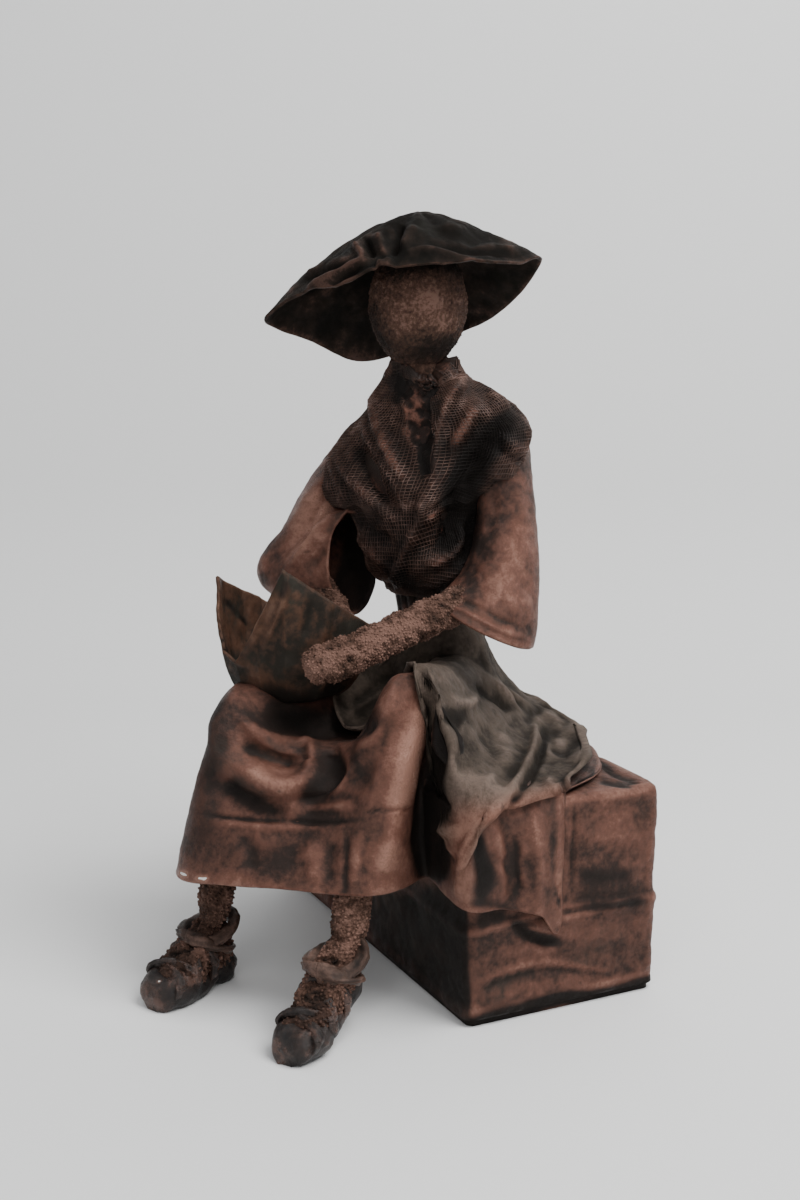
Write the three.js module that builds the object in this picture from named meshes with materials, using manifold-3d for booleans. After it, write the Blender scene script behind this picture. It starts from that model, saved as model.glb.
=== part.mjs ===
// Seated figure of stiffened, painted cloth on a cloth-covered block, holding an open cloth bowl.
// Millimetres, +Z up. The origin is the middle of the block's underside, on the floor.
// The block is square to X and Y. The figure sits on it turned towards its +X end.

import * as THREE from "three";
import { mergeVertices } from "three/addons/utils/BufferGeometryUtils.js";
import Module from "manifold-3d";

const wasm = await Module();
wasm.setup();

// Driving dimensions
const blockLength = 300;
const blockWidth = 150;
const blockHeight = 148;
const blockCornerRadius = 9;
const blockFootHeight = 5; // bare strip under the cloth
const blockFootInset = 4;
const blockRidgeHeight = 66; // fold round the cloth cover
const gap = 0.4; // air between pieces that touch
const clothThickness = 3.2;
const bowlWall = 2.6;
const hatWall = 2.8;
const figureHeight = 526; // floor to the crown of the hat
const figureTurn = 32; // degrees from the block's front face
const figureSeat = { x: -40, y: 10 }; // where the pelvis sits on the block
const hemHeight = 90; // skirt hem over the floor, in front
const waistHeight = 250;
const waistRadius = 24;
const thighRadius = 22;
const headWidth = 68;
const headHeight = 90;
const limbRadius = 12.5;
const shoeLength = 74;
const shoeWidth = 37;
const shoeHeight = 25;

// Steps round and along the lofted forms
const frontSteps = 22; // where the skirt hangs over the knees
const backStep = 18; // degrees, elsewhere
const limbSteps = 12;

const rad = THREE.MathUtils.degToRad;
const v3 = (x, y, z) => new THREE.Vector3(x, y, z);
const toVector = (p) => v3(p[0], p[1], p[2]);

// Value at x of a smooth curve through [x, value] pairs. A period makes it close on itself.
function curveThrough(pairs, x, period = 0) {
  const n = pairs.length;
  const at = (i) => {
    const turns = Math.floor(i / n);
    const [px, value] = pairs[i - turns * n];
    return period ? [px + turns * period, value] : pairs[Math.min(Math.max(i, 0), n - 1)];
  };
  const first = pairs[0][0];
  const place = period ? first + ((((x - first) % period) + period) % period) : x;
  let i = 0;
  while (i < (period ? n - 1 : n - 2) && at(i + 1)[0] <= place) i += 1;
  const [x1, y1] = at(i);
  const [x2, y2] = at(i + 1);
  const slope = (a, b) => (b[0] === a[0] ? 0 : (b[1] - a[1]) / (b[0] - a[0]));
  const m1 = slope(at(i - 1), at(i + 1)) * (x2 - x1);
  const m2 = slope(at(i), at(i + 2)) * (x2 - x1);
  const t = Math.min(Math.max((place - x1) / (x2 - x1), 0), 1);
  const h = t * t * (3 - 2 * t);
  return y1 * (1 - h) + y2 * h + m1 * (t ** 3 - 2 * t * t + t) + m2 * (t ** 3 - t * t);
}

function geometryFrom(points, faces) {
  const corners = faces.flat().flatMap((i) => points[i].toArray());
  const geometry = new THREE.BufferGeometry();
  geometry.setAttribute("position", new THREE.Float32BufferAttribute(corners, 3));
  return geometry;
}

// Closed solid through rings of equal length. Each end closes on the middle of its ring.
function loft(rings) {
  const n = rings[0].length;
  const points = rings.flat();
  const faces = [];
  for (let j = 0; j + 1 < rings.length; j += 1) {
    for (let i = 0; i < n; i += 1) {
      const k = (i + 1) % n;
      const [a, b, c, d] = [j * n + i, j * n + k, (j + 1) * n + k, (j + 1) * n + i];
      faces.push([a, b, c], [a, c, d]);
    }
  }
  for (const [j, flip] of [[0, true], [rings.length - 1, false]]) {
    const middle = v3(0, 0, 0);
    rings[j].forEach((p) => middle.addScaledVector(p, 1 / n));
    points.push(middle);
    for (let i = 0; i < n; i += 1) {
      const [a, b] = [j * n + i, j * n + ((i + 1) % n)];
      faces.push(flip ? [b, a, points.length - 1] : [a, b, points.length - 1]);
    }
  }
  return geometryFrom(points, faces);
}

// Closed sheet between two open grids of points, with walls along its four edges.
function sheet(outer, inner) {
  const rows = outer.length;
  const columns = outer[0].length;
  const points = [...outer.flat(), ...inner.flat()];
  const faces = [];
  const quad = (a, b, c, d) => faces.push([a, b, c], [a, c, d]);
  const top = (i, j) => i * columns + j;
  const under = (i, j) => rows * columns + i * columns + j;
  for (let i = 0; i + 1 < rows; i += 1) {
    for (let j = 0; j + 1 < columns; j += 1) {
      quad(top(i, j), top(i + 1, j), top(i + 1, j + 1), top(i, j + 1));
      quad(under(i, j), under(i, j + 1), under(i + 1, j + 1), under(i + 1, j));
    }
    quad(top(i + 1, 0), top(i, 0), under(i, 0), under(i + 1, 0));
    const last = columns - 1;
    quad(top(i, last), top(i + 1, last), under(i + 1, last), under(i, last));
  }
  for (let j = 0; j + 1 < columns; j += 1) {
    quad(top(0, j), top(0, j + 1), under(0, j + 1), under(0, j));
    quad(top(rows - 1, j + 1), top(rows - 1, j), under(rows - 1, j), under(rows - 1, j + 1));
  }
  return geometryFrom(points, faces);
}

// Oval ring round a centre, from two half-axis vectors
function oval(centre, across, along, steps = limbSteps) {
  const ring = [];
  for (let i = 0; i < steps; i += 1) {
    const a = (2 * Math.PI * i) / steps;
    ring.push(toVector(centre).addScaledVector(toVector(across), Math.cos(a))
      .addScaledVector(toVector(along), Math.sin(a)));
  }
  return ring;
}

function solidOf(geometry) {
  const merged = mergeVertices(geometry, 1e-3);
  const mesh = new wasm.Mesh({
    numProp: 3,
    vertProperties: merged.attributes.position.array,
    triVerts: new Uint32Array(merged.index.array),
  });
  const solid = new wasm.Manifold(mesh);
  if (solid.volume() > 0) return solid;
  for (let i = 0; i < mesh.triVerts.length; i += 3) {
    [mesh.triVerts[i + 1], mesh.triVerts[i + 2]] = [mesh.triVerts[i + 2], mesh.triVerts[i + 1]];
  }
  return new wasm.Manifold(mesh);
}

function geometryOf(solid) {
  const mesh = solid.getMesh();
  const geometry = new THREE.BufferGeometry();
  geometry.setAttribute("position", new THREE.BufferAttribute(new Float32Array(mesh.vertProperties), 3));
  geometry.setIndex(new THREE.BufferAttribute(new Uint32Array(mesh.triVerts), 1));
  return geometry;
}

// The same solid with its faces pushed out. Each vertex moves until it is clear of every face it is on,
// but never further than a few times the distance asked for.
function grown(solid, by = gap) {
  const { triVerts, vertProperties } = solid.getMesh();
  const at = (i) => v3(...vertProperties.slice(3 * i, 3 * i + 3));
  const around = Array.from({ length: vertProperties.length / 3 }, () => []);
  for (let i = 0; i < triVerts.length; i += 3) {
    const [a, b, c] = [at(triVerts[i]), at(triVerts[i + 1]), at(triVerts[i + 2])];
    const normal = b.sub(a).cross(c.sub(a));
    if (normal.length() < 1e-6) continue;
    normal.normalize();
    [0, 1, 2].forEach((k) => around[triVerts[i + k]].push(normal));
  }
  const moved = around.flatMap((normals, i) => {
    const shift = v3(0, 0, 0);
    for (let pass = 0; pass < 12; pass += 1) {
      normals.forEach((n) => shift.addScaledVector(n, Math.max(by - n.dot(shift), 0)));
    }
    return at(i).add(shift.clampLength(0, 4 * by)).toArray();
  });
  return new wasm.Manifold(new wasm.Mesh({ numProp: 3, vertProperties: new Float32Array(moved), triVerts }));
}

// Takes the neighbours out of a solid and keeps its largest body
function clearOf(solid, ...neighbours) {
  let left = solid;
  neighbours.forEach((n) => {
    left = left.subtract(grown(n));
  });
  return left.decompose().sort((a, b) => b.volume() - a.volume())[0];
}

// The figure is modelled facing -Y, then turned and set on the block
const turn = rad(figureTurn);
const figurePlacement = new THREE.Matrix4().makeRotationZ(turn).setPosition(figureSeat.x, figureSeat.y, 0);
const placed = (geometry) => geometry.applyMatrix4(figurePlacement);

// Heights over the waist are given as on the drawn figure, and follow its waist and its whole height
const drawn = { waist: 250, crown: 526 };
const torsoShare = (figureHeight - waistHeight) / (drawn.crown - drawn.waist);
const torsoLevel = (z) => waistHeight + (z - drawn.waist) * torsoShare;

// Cloth-covered block: rounded rectangles stacked up, a bare foot below and a fold round the middle
function blockRing(inset, z) {
  const half = [blockLength / 2 - inset, blockWidth / 2 - inset];
  const ring = [];
  for (const [sx, sy, start] of [[1, -1, -90], [1, 1, 0], [-1, 1, 90], [-1, -1, 180]]) {
    for (let i = 0; i <= 3; i += 1) {
      const a = rad(start + 30 * i);
      ring.push(v3(sx * (half[0] - blockCornerRadius) + blockCornerRadius * Math.cos(a),
        sy * (half[1] - blockCornerRadius) + blockCornerRadius * Math.sin(a), z));
    }
  }
  return ring;
}

function makeBlock() {
  const rings = [
    [blockFootInset, 0], [blockFootInset, blockFootHeight], [1.5, blockFootHeight], [0.5, 24],
    [1.2, blockRidgeHeight - 7], [-1.2, blockRidgeHeight - 3], [-1.2, blockRidgeHeight],
    [1, blockRidgeHeight + 5], [0.8, blockHeight - 12], [2, blockHeight - 3], [5.5, blockHeight],
  ];
  return solidOf(loft(rings.map(([inset, z]) => blockRing(inset, z))));
}

// Skirt, worked out in the figure's frame as one profile for each direction round the waist
const skirtCentre = v3(-5, -15, 0);
const skirtFront = { from: -149, to: -32 };
const drapeEdge = 1.5; // degrees over which the hanging cloth ends
function skirtDirections() {
  const directions = [];
  const width = skirtFront.to - skirtFront.from;
  for (let i = 0; i <= frontSteps; i += 1) directions.push(skirtFront.from + (width * i) / frontSteps);
  for (let d = skirtFront.to + drapeEdge; d < skirtFront.from + 350; d += backStep) directions.push(d);
  return directions;
}
const blockTop = blockHeight + clothThickness;
const thighs = [
  { hip: v3(-26, -12, blockTop + 27), knee: v3(-72, -176, blockTop + 35) },
  { hip: v3(20, -12, blockTop + 27), knee: v3(58, -148, blockTop + 55) },
];

// Distance from the skirt's centre, in one direction, to the edge of the block's top
function blockEdge(angle, margin = 0) {
  const [cx, cy] = [skirtCentre.x, skirtCentre.y];
  const start = v3(cx * Math.cos(turn) - cy * Math.sin(turn) + figureSeat.x,
    cx * Math.sin(turn) + cy * Math.cos(turn) + figureSeat.y, 0);
  const [dx, dy] = [Math.cos(angle + turn), Math.sin(angle + turn)];
  const reach = (from, d, half) => (Math.abs(d) < 1e-9 ? Infinity : (Math.sign(d) * half - from) / d);
  const half = [blockLength / 2 + margin, blockWidth / 2 + margin];
  const [byX, byY] = [reach(start.x, dx, half[0]), reach(start.y, dy, half[1])];
  return Math.min(byX, byY);
}

// Where the cloth turns down and where it ends, by direction in degrees: over the floor in front,
// over the block's end at its left, and flat on the block's top elsewhere
const hemRadius = [
  [-174, 98], [-160, 122], [-147, 134], [-133, 148], [-119, 198], [-109, 225], [-98, 220], [-87, 207],
  [-76, 200], [-68, 186], [-60, 172], [-52.6, 204], [-45, 196], [-32, 192], [-30.5, 182], [-15, 163], [0, 134],
  [15, 110], [35, 90], [58, 82], [85, 84], [115, 88], [145, 84], [168, 86],
];
const hemLevel = [
  [-174, blockTop], [-168, 140], [-160, 104], [-147, hemHeight + 2], [-109, hemHeight - 5], [-98, hemHeight],
  [-87, hemHeight + 2], [-66, hemHeight + 1], [-52.6, 87], [-45, 78], [-32, 56], [-30.5, blockTop],
  [-15, blockTop], [90, blockTop],
];
const kneeRadius = [
  [-174, 92], [-160, 104], [-147, 112], [-133, 126], [-119, 166], [-109, 190], [-98, 178], [-87, 162],
  [-76, 166], [-68, 168], [-60, 168], [-52.6, 202], [-45, 195], [-32, 191], [-30.5, 182], [-15, 163], [0, 134],
  [15, 110], [35, 90], [58, 82], [85, 84], [115, 88], [145, 84], [168, 86],
];

function thighHeight(x, y, { hip, knee }) {
  const along = knee.clone().sub(hip);
  const flat = v3(along.x, along.y, 0);
  const t = Math.min(Math.max(v3(x - hip.x, y - hip.y, 0).dot(flat) / flat.lengthSq(), 0), 1.05);
  const axis = hip.clone().addScaledVector(along, t);
  const away = Math.hypot(x - axis.x, y - axis.y) / (thighRadius * 1.4);
  return blockTop + (axis.z + thighRadius - blockTop) / (1 + away ** 3);
}

// Height of the cloth over the lap and the block's top
function lapHeight(x, y, radius) {
  const fromWaist = Math.max(radius - waistRadius + 2, 0) / 25;
  const waist = blockTop + (waistHeight - blockTop) * Math.exp(-(fromWaist ** 1.15));
  const front = Math.min(Math.max((-y - 20) / 60, 0), 1) * Math.exp(-(((x + 8) / 105) ** 6));
  const web = blockTop + front * 16;
  const heights = [waist, web, ...thighs.map((t) => thighHeight(x, y, t))];
  const softness = 7;
  const sum = heights.reduce((total, h) => total + Math.exp((h - blockTop) / softness), 0);
  return blockTop + softness * Math.log(sum - heights.length + 1);
}

// Outer profile in one direction: lapPoints over the lap, then hangPoints down to the hem
const lapPoints = 8;
const hangPoints = 8;
const foldDepth = 7;

// How far the hanging cloth stands out in folds: swags between the knees, a ridge down from the left
// knee with a hollow beside it, and pleats over the block's end
function foldOut(degrees, share) {
  const span = (degrees + 93) / 22;
  const hang = Math.sin(Math.PI * Math.min(share * 1.25, 1));
  const swag = Math.exp(-(span ** 2)) * Math.cos(2 * Math.PI * (share * 2.1 + 0.35 * span ** 2));
  const ridge = Math.exp(-(((degrees + 70) / 5) ** 2)) * Math.min(share * 3, 1);
  const hollow = -2.4 * Math.exp(-(((degrees + 59.5) / 3.5) ** 2)) * Math.min(share * 3, 1);
  const pleats = degrees > -56 && degrees < -30.5 ? 0.35 * Math.sin(rad(degrees) * 26) * share : 0;
  return foldDepth * (0.7 * swag * hang + ridge + hollow + pleats);
}

function skirtProfile(degrees) {
  const angle = rad(degrees);
  const [c, s] = [Math.cos(angle), Math.sin(angle)];
  const turnRadius = curveThrough(kneeRadius, degrees, 360);
  const endRadius = curveThrough(hemRadius, degrees, 360);
  const endLevel = curveThrough(hemLevel, degrees, 360);
  const profile = [];
  const lap = (r) => lapHeight(skirtCentre.x + r * c, skirtCentre.y + r * s, r);
  const drop = Math.max(lap(turnRadius) - endLevel, 0.5);
  const rounding = Math.min(16, drop * 0.4, Math.max(turnRadius - blockEdge(angle), 1));
  const shoulder = turnRadius - rounding;
  for (let i = 0; i <= lapPoints; i += 1) {
    const r = waistRadius + (shoulder - waistRadius) * (i / lapPoints) ** 1.12;
    profile.push([r, lap(r)]);
  }
  const top = lap(shoulder);
  const corner = [turnRadius + 1, top - 1];
  const endLow = Math.min(endLevel, top - 2.4);
  const lowControl = [corner[0] + (endRadius - corner[0]) * 0.4, top + (endLow - top) * 0.45];
  for (let i = 1; i <= hangPoints; i += 1) {
    const t = i / hangPoints;
    const k = 1 - t;
    const w = [k * k * k, 3 * k * k * t, 3 * k * t * t, t * t * t];
    const fold = drop > 30 ? foldOut(degrees, t) : 0;
    profile.push([
      w[0] * shoulder + w[1] * corner[0] + w[2] * lowControl[0] + w[3] * endRadius + fold,
      w[0] * top + w[1] * corner[1] + w[2] * lowControl[1] + w[3] * endLow,
    ]);
  }
  return profile;
}

function skirtPoint(degrees, [r, z]) {
  return v3(skirtCentre.x + r * Math.cos(rad(degrees)), skirtCentre.y + r * Math.sin(rad(degrees)), z);
}

// Underside: flat on the block, flat under the thighs, then up the inside of what hangs down
function skirtInside(degrees, outer) {
  const hem = outer[outer.length - 1];
  const under = blockHeight + gap;
  const hangs = hem[1] < under - 1;
  const edge = blockEdge(rad(degrees), gap);
  const room = Math.max(hem[0] - clothThickness, 10);
  if (!hangs) {
    return [0.97, 0.8, 0.6, 0.4, 0.2].map((share) => [room * share, under]);
  }
  const inside = Math.max(edge, room);
  const wallAt = (k) => Math.max(outer[k][0] - clothThickness, edge);
  return [
    [inside, hem[1]],
    [wallAt(lapPoints + 5), (hem[1] + under) / 2],
    [Math.max(wallAt(lapPoints + 3) - 2, edge), under + 1],
    [(edge + Math.max(wallAt(lapPoints + 3) - 2, edge)) / 2, under + 1],
    [Math.min(edge, room) * 0.5, under],
  ];
}

function makeSkirt() {
  const profiles = skirtDirections().map((degrees) => {
    const outer = skirtProfile(degrees);
    const all = [...outer, ...skirtInside(degrees, outer)];
    return all.map((p) => skirtPoint(degrees, p));
  });
  const rings = profiles[0].map((_, j) => profiles.map((profile) => profile[j]));
  return solidOf(placed(loft(rings)));
}

// Apron: a second cloth over the lap, the left thigh and the block, with a rolled edge.
// Its edge by direction: how far out it lies, and how far it hangs beyond that.
const apronEdge = [
  [-114, 88, 0], [-98, 106, 0], [-88, 112, 0], [-80, 102, 0], [-73, 88, 0], [-67, 118, 0], [-62, 158, 14],
  [-58, 172, 70], [-54, 188, 60], [-49, 188, 22], [-42, 188, 8], [-33, 184, 4], [-26, 172, 0], [-15, 154, 0],
  [0, 127, 0], [15, 112, 0], [35, 98, 0], [52, 86, 0], [80, 84, 0], [104, 84, 0], [120, 78, 0],
];
const apronRows = 7;
const apronRoll = 3;
const apronStart = 9;
const apronDip = 1.5; // how far it reaches into the skirt before the skirt is taken out of it

// Place and outward direction at a distance down one profile
function alongProfile(profile, distance) {
  let left = distance;
  let i = 0;
  const step = (k) => Math.hypot(profile[k + 1][0] - profile[k][0], profile[k + 1][1] - profile[k][1]);
  while (i < profile.length - 2 && left > step(i)) {
    left -= step(i);
    i += 1;
  }
  const t = Math.min(left / step(i), 1);
  const [a, b] = [profile[i], profile[i + 1]];
  return {
    place: [a[0] + (b[0] - a[0]) * t, a[1] + (b[1] - a[1]) * t],
    out: [-(b[1] - a[1]) / step(i), (b[0] - a[0]) / step(i)],
  };
}

function apronReach(profile, degrees) {
  const radius = curveThrough(apronEdge.map(([d, r]) => [d, r]), degrees);
  const hang = Math.max(curveThrough(apronEdge.map(([d, , h]) => [d, h]), degrees), 0);
  let distance = 0;
  for (let i = 0; i < lapPoints && profile[i][0] < radius; i += 1) {
    const share = Math.min((radius - profile[i][0]) / (profile[i + 1][0] - profile[i][0]), 1);
    distance += share * Math.hypot(profile[i + 1][0] - profile[i][0], profile[i + 1][1] - profile[i][1]);
  }
  return distance + hang;
}

function makeApron(skirt) {
  const outer = [];
  const inner = [];
  const [first, last] = [apronEdge[0][0], apronEdge[apronEdge.length - 1][0]];
  const directions = skirtDirections().filter((d) => d > first && d < last);
  for (const degrees of [first, ...directions, last]) {
    const profile = skirtProfile(degrees);
    const reach = apronReach(profile, degrees);
    const rows = [[], []];
    for (let j = 0; j <= apronRows; j += 1) {
      const share = j / apronRows;
      const { place, out } = alongProfile(profile, apronStart + (reach - apronStart) * share);
      const fold = 2.4 * Math.max(Math.sin(rad(degrees) * 8 + share * 4), 0) * Math.sin(Math.PI * share);
      const roll = apronRoll * Math.exp(-((1 - share) * apronRows));
      const lift = gap + clothThickness + 1 + 3 * Math.exp(-((share / 0.25) ** 2)) + fold + roll;
      rows[0].push(skirtPoint(degrees, [place[0] + out[0] * lift, place[1] + out[1] * lift]));
      rows[1].push(skirtPoint(degrees, [place[0] - out[0] * apronDip, place[1] - out[1] * apronDip]));
    }
    outer.push(rows[0]);
    inner.push(rows[1]);
  }
  return clearOf(solidOf(placed(sheet(outer, inner))), skirt);
}

// Torso under the shawl. Levels lean with the shoulders: the figure's right side is lower.
function bodyRing([z, x, y, a, b, lean], steps = 16) {
  return oval([x, y, torsoLevel(z)], [a, 0, a * lean], [0, b, 0], steps);
}

function makeBodice(skirt) {
  const levels = [
    [238, -6, -22, 22, 18, 0], [258, -6, -26, 23, 18, 0], [278, -8, -31, 26, 19, 0.02],
    [305, -9, -36, 35, 23, 0.05], [335, -9, -39, 43, 26, 0.12], [360, -9, -36, 47, 25, 0.2],
    [378, -6, -34, 38, 21, 0.24], [392, -4, -35, 23, 17, 0.15], [399, -3, -37, 16, 14, 0],
  ];
  return clearOf(solidOf(placed(loft(levels.map((l) => bodyRing(l))))), skirt);
}

// Head and neck, one crumb-coated form
const headCentre = v3(-3, -40, torsoLevel(462));
function makeHead(bodice) {
  const rings = [];
  const steps = 18;
  const levels = 9;
  for (let j = 1; j < levels; j += 1) {
    const a = Math.PI * (j / levels) - Math.PI / 2;
    const z = headCentre.z + (headHeight / 2) * Math.sin(a);
    const taper = 1 - 0.1 * Math.max(-Math.sin(a), 0) ** 2;
    const r = (headWidth / 2) * Math.cos(a) * taper;
    rings.push(oval([headCentre.x, headCentre.y, z], [r, 0, 0], [0, r * 1.04, 0], steps));
  }
  const neck = [[390, -4, -37, 17], [402, -3, -38, 16], [416, -3, -39, 15.5], [430, -3, -40, 16]];
  const neckRings = neck.map(([z, x, y, r]) => oval([x, y, torsoLevel(z)], [r, 0, 0], [0, r, 0]));
  const neckSolid = solidOf(placed(loft(neckRings)));
  return clearOf(solidOf(placed(loft(rings))).add(neckSolid), bodice);
}

// Hat: a round of cloth over the head, pulled out to two points, low behind and pinched up in front.
// Its brim goes by direction: 0 is the figure's left point, 90 behind, 180 the right point.
const hatTurn = rad(30);
const hatBrim = [
  { at: 0, reach: 86, z: 495, curve: 1.5 }, { at: 18, reach: 77, z: 472, curve: 1.5 },
  { at: 45, reach: 66, z: 449, curve: 1.5 }, { at: 90, reach: 62, z: 432, curve: 1.6 },
  { at: 130, reach: 68, z: 421, curve: 1.6 }, { at: 160, reach: 84, z: 437, curve: 1.6 },
  { at: 180, reach: 109, z: 453, curve: 1.65 }, { at: 200, reach: 84, z: 472, curve: 1.7 },
  { at: 238, reach: 61, z: 485, curve: 1.7 }, { at: 270, reach: 57, z: 491, curve: 1.8 },
  { at: 305, reach: 61, z: 491, curve: 1.8 }, { at: 340, reach: 73, z: 492, curve: 1.6 },
];
function makeHat(head) {
  const steps = 30;
  const shares = [0.12, 0.3, 0.5, 0.68, 0.84, 1];
  const brim = (key, at) => curveThrough(hatBrim.map((b) => [b.at, b[key]]), at, 360);
  const crownInside = headCentre.z + headHeight / 2 + gap;
  const level = (share, at, inside) => {
    const top = inside ? crownInside + 1 : figureHeight;
    const edge = torsoLevel(brim("z", at)) - (inside ? hatWall : 0);
    const pleat = 2.2 * Math.sin(rad(at) * 7) * Math.sin(Math.PI * share) * (Math.abs(at - 230) < 80 ? 1 : 0.3);
    return top - (top - edge) * share ** brim("curve", at) + (inside ? 0 : pleat);
  };
  const ring = (share, inside) => {
    const points = [];
    for (let i = 0; i < steps; i += 1) {
      const at = (360 * i) / steps;
      const reach = brim("reach", at) * share - (inside ? 0.4 : 0);
      const a = rad(at) + hatTurn;
      points.push(v3(headCentre.x + reach * Math.cos(a), headCentre.y + reach * Math.sin(a),
        level(share, at, inside)));
    }
    return points;
  };
  const rings = [...shares.map((s) => ring(s, false)), ...shares.reverse().map((s) => ring(s, true))];
  return clearOf(solidOf(placed(loft(rings))), head);
}

// Sleeves: filled down to the elbow, then an open bell with a wall
const leftSleeve = [
  { centre: [48, -16, 391], across: [8, 4, -3], along: [5, -9, 0] },
  { centre: [53, -17, 380], across: [14, 8, -6], along: [9, -15, 0] },
  { centre: [59, -22, 352], across: [15, 10, -3], along: [10, -17, 0] },
  { centre: [63, -29, 324], across: [17, 11, 0], along: [11, -18, 0] },
  { centre: [68, -38, 297], across: [20, 13, 0], along: [12, -20, 0] },
  { centre: [69, -49, 272], across: [24, 16, -6], along: [13, -22, -2] },
  { centre: [65, -61, 247], across: [28, 20, -17], along: [14, -23, -3] },
];
const rightSleeve = [
  { centre: [-58, -24, 373], across: [-7, -3, -5], along: [4, -9, 0] },
  { centre: [-68, -28, 361], across: [-14, -6, -7], along: [7, -15, 0] },
  { centre: [-83, -39, 333], across: [-16, -8, -8], along: [8, -18, -3] },
  { centre: [-87, -50, 309], across: [-22, -9, -12], along: [8, -21, -4] },
  { centre: [-91, -60, 288], across: [-31, -12, -23], along: [8, -25, -3] },
  { centre: [-70, -64, 278], across: [-10, -5, -37], along: [-8, -27, -2] },
  { centre: [-44, -63, 279], across: [2, -2, -38], along: [-11, -16, 0] },
];

function betweenRings(list, at) {
  const pick = (key, axis) => curveThrough(list.map((ring, i) => [i, ring[key][axis]]), at);
  const keys = ["centre", "across", "along"];
  const ring = Object.fromEntries(keys.map((key) => [key, [0, 1, 2].map((axis) => pick(key, axis))]));
  ring.centre[2] = torsoLevel(ring.centre[2]);
  return ring;
}

function makeSleeve(list, ...neighbours) {
  const steps = 16;
  const outer = [];
  for (let at = 0; at <= list.length - 1 + 1e-9; at += 0.5) {
    const ring = betweenRings(list, at);
    outer.push(oval(ring.centre, ring.across, ring.along, steps));
  }
  const inner = [];
  for (let at = list.length - 1; at >= list.length - 2.5; at -= 0.5) {
    const ring = betweenRings(list, at);
    const shrink = (vector) => {
      const size = Math.hypot(...vector);
      return vector.map((c) => (c * (size - clothThickness)) / size);
    };
    inner.push(oval(ring.centre, shrink(ring.across), shrink(ring.along), steps));
  }
  return clearOf(solidOf(placed(loft([...outer, ...inner]))), ...neighbours);
}

// Round limb along a smooth line of [x, y, z, radius]
function limb(stations, steps = 10, pieces = 8) {
  const curve = new THREE.CatmullRomCurve3(stations.map(toVector));
  const rings = [];
  for (let j = 0; j <= pieces; j += 1) {
    const t = j / pieces;
    const centre = curve.getPoint(t);
    const tangent = curve.getTangent(t);
    const side = v3(0.2, 0.3, 1).cross(tangent).normalize();
    const up = tangent.clone().cross(side);
    const radius = curveThrough(stations.map((s, i) => [i / (stations.length - 1), s[3]]), t);
    const cap = j === 0 || j === pieces ? 0.55 : 1;
    rings.push(oval(centre.toArray(), side.multiplyScalar(radius * cap).toArray(),
      up.multiplyScalar(radius * cap).toArray(), steps));
  }
  return solidOf(placed(loft(rings)));
}

// Bowl: a square of cloth pushed into a hollow, its four corners standing up as points
const bowlCentre = v3(-55, -128, 192);
const bowlRim = [
  { at: -140, reach: 50, z: 279 }, { at: -133, reach: 50, z: 250 }, { at: -127, reach: 48, z: 229 },
  { at: -113, reach: 43, z: 222 }, { at: -88, reach: 42, z: 248 }, { at: -58, reach: 46, z: 291 },
  { at: -15, reach: 50, z: 266 }, { at: 30, reach: 59, z: 243 }, { at: 75, reach: 44, z: 226 },
  { at: 115, reach: 46, z: 234 }, { at: 150, reach: 50, z: 254 }, { at: 170, reach: 50, z: 262 },
  { at: 195, reach: 52, z: 273 },
];
const bowlLevels = [[0.42, 0], [0.62, 0.05], [0.78, 0.22], [0.88, 0.45], [0.95, 0.72], [1, 1]];
function bowlRing([spread, rise], inset) {
  const ring = [];
  bowlRim.forEach((corner, i) => {
    const next = bowlRim[(i + 1) % bowlRim.length];
    for (const t of [0, 0.5]) {
      const place = (c) => {
        const reach = c.reach * spread - inset;
        const base = bowlCentre.z + (inset ? bowlWall : 0);
        return v3(bowlCentre.x + reach * Math.cos(rad(c.at)), bowlCentre.y + reach * Math.sin(rad(c.at)),
          base + (c.z - base) * rise);
      };
      ring.push(place(corner).lerp(place(next), t));
    }
  });
  return ring;
}

function makeBowl() {
  const outer = bowlLevels.map((l) => bowlRing(l, 0));
  const inner = [...bowlLevels].reverse().map((l) => bowlRing(l, bowlWall));
  return {
    bowl: solidOf(placed(loft([...outer, ...inner]))),
    filled: solidOf(placed(loft(outer))),
  };
}

// Shawl of net: round the shoulders, open in a V at the throat, tied in at the waist
function makeShawl(...neighbours) {
  const levels = [
    [256, -7, -29, 26, 22, 0], [264, -6, -31, 30, 24, 0.02], [271, -2, -35, 42, 28, 0.03],
    [292, -2, -38, 47, 30, 0.04], [318, -5, -40, 52, 33, 0.1], [328, -8, -38, 70, 34, 0.16],
    [346, -7, -34, 86, 32, 0.2], [364, -5, -32, 84, 30, 0.22], [380, -3, -32, 68, 27, 0.22],
    [396, 1, -34, 44, 24, 0.16], [411, 2, -36, 30, 21, 0.06], [424, 1, -37, 23, 20, 0.04],
  ];
  const whole = solidOf(placed(loft(levels.map((l) => bodyRing(l, 18)))));
  const throat = new THREE.Shape([
    new THREE.Vector2(-22, 425), new THREE.Vector2(14, 425), new THREE.Vector2(8, 385), new THREE.Vector2(-2, 350),
    new THREE.Vector2(-8, 352), new THREE.Vector2(-16, 385),
  ]);
  const wedge = new THREE.ExtrudeGeometry(throat, { depth: 60, bevelEnabled: false });
  wedge.rotateX(Math.PI / 2).translate(2, -38, 0);
  wedge.deleteAttribute("normal");
  wedge.deleteAttribute("uv");
  return clearOf(whole.subtract(solidOf(placed(wedge))), ...neighbours);
}

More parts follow.
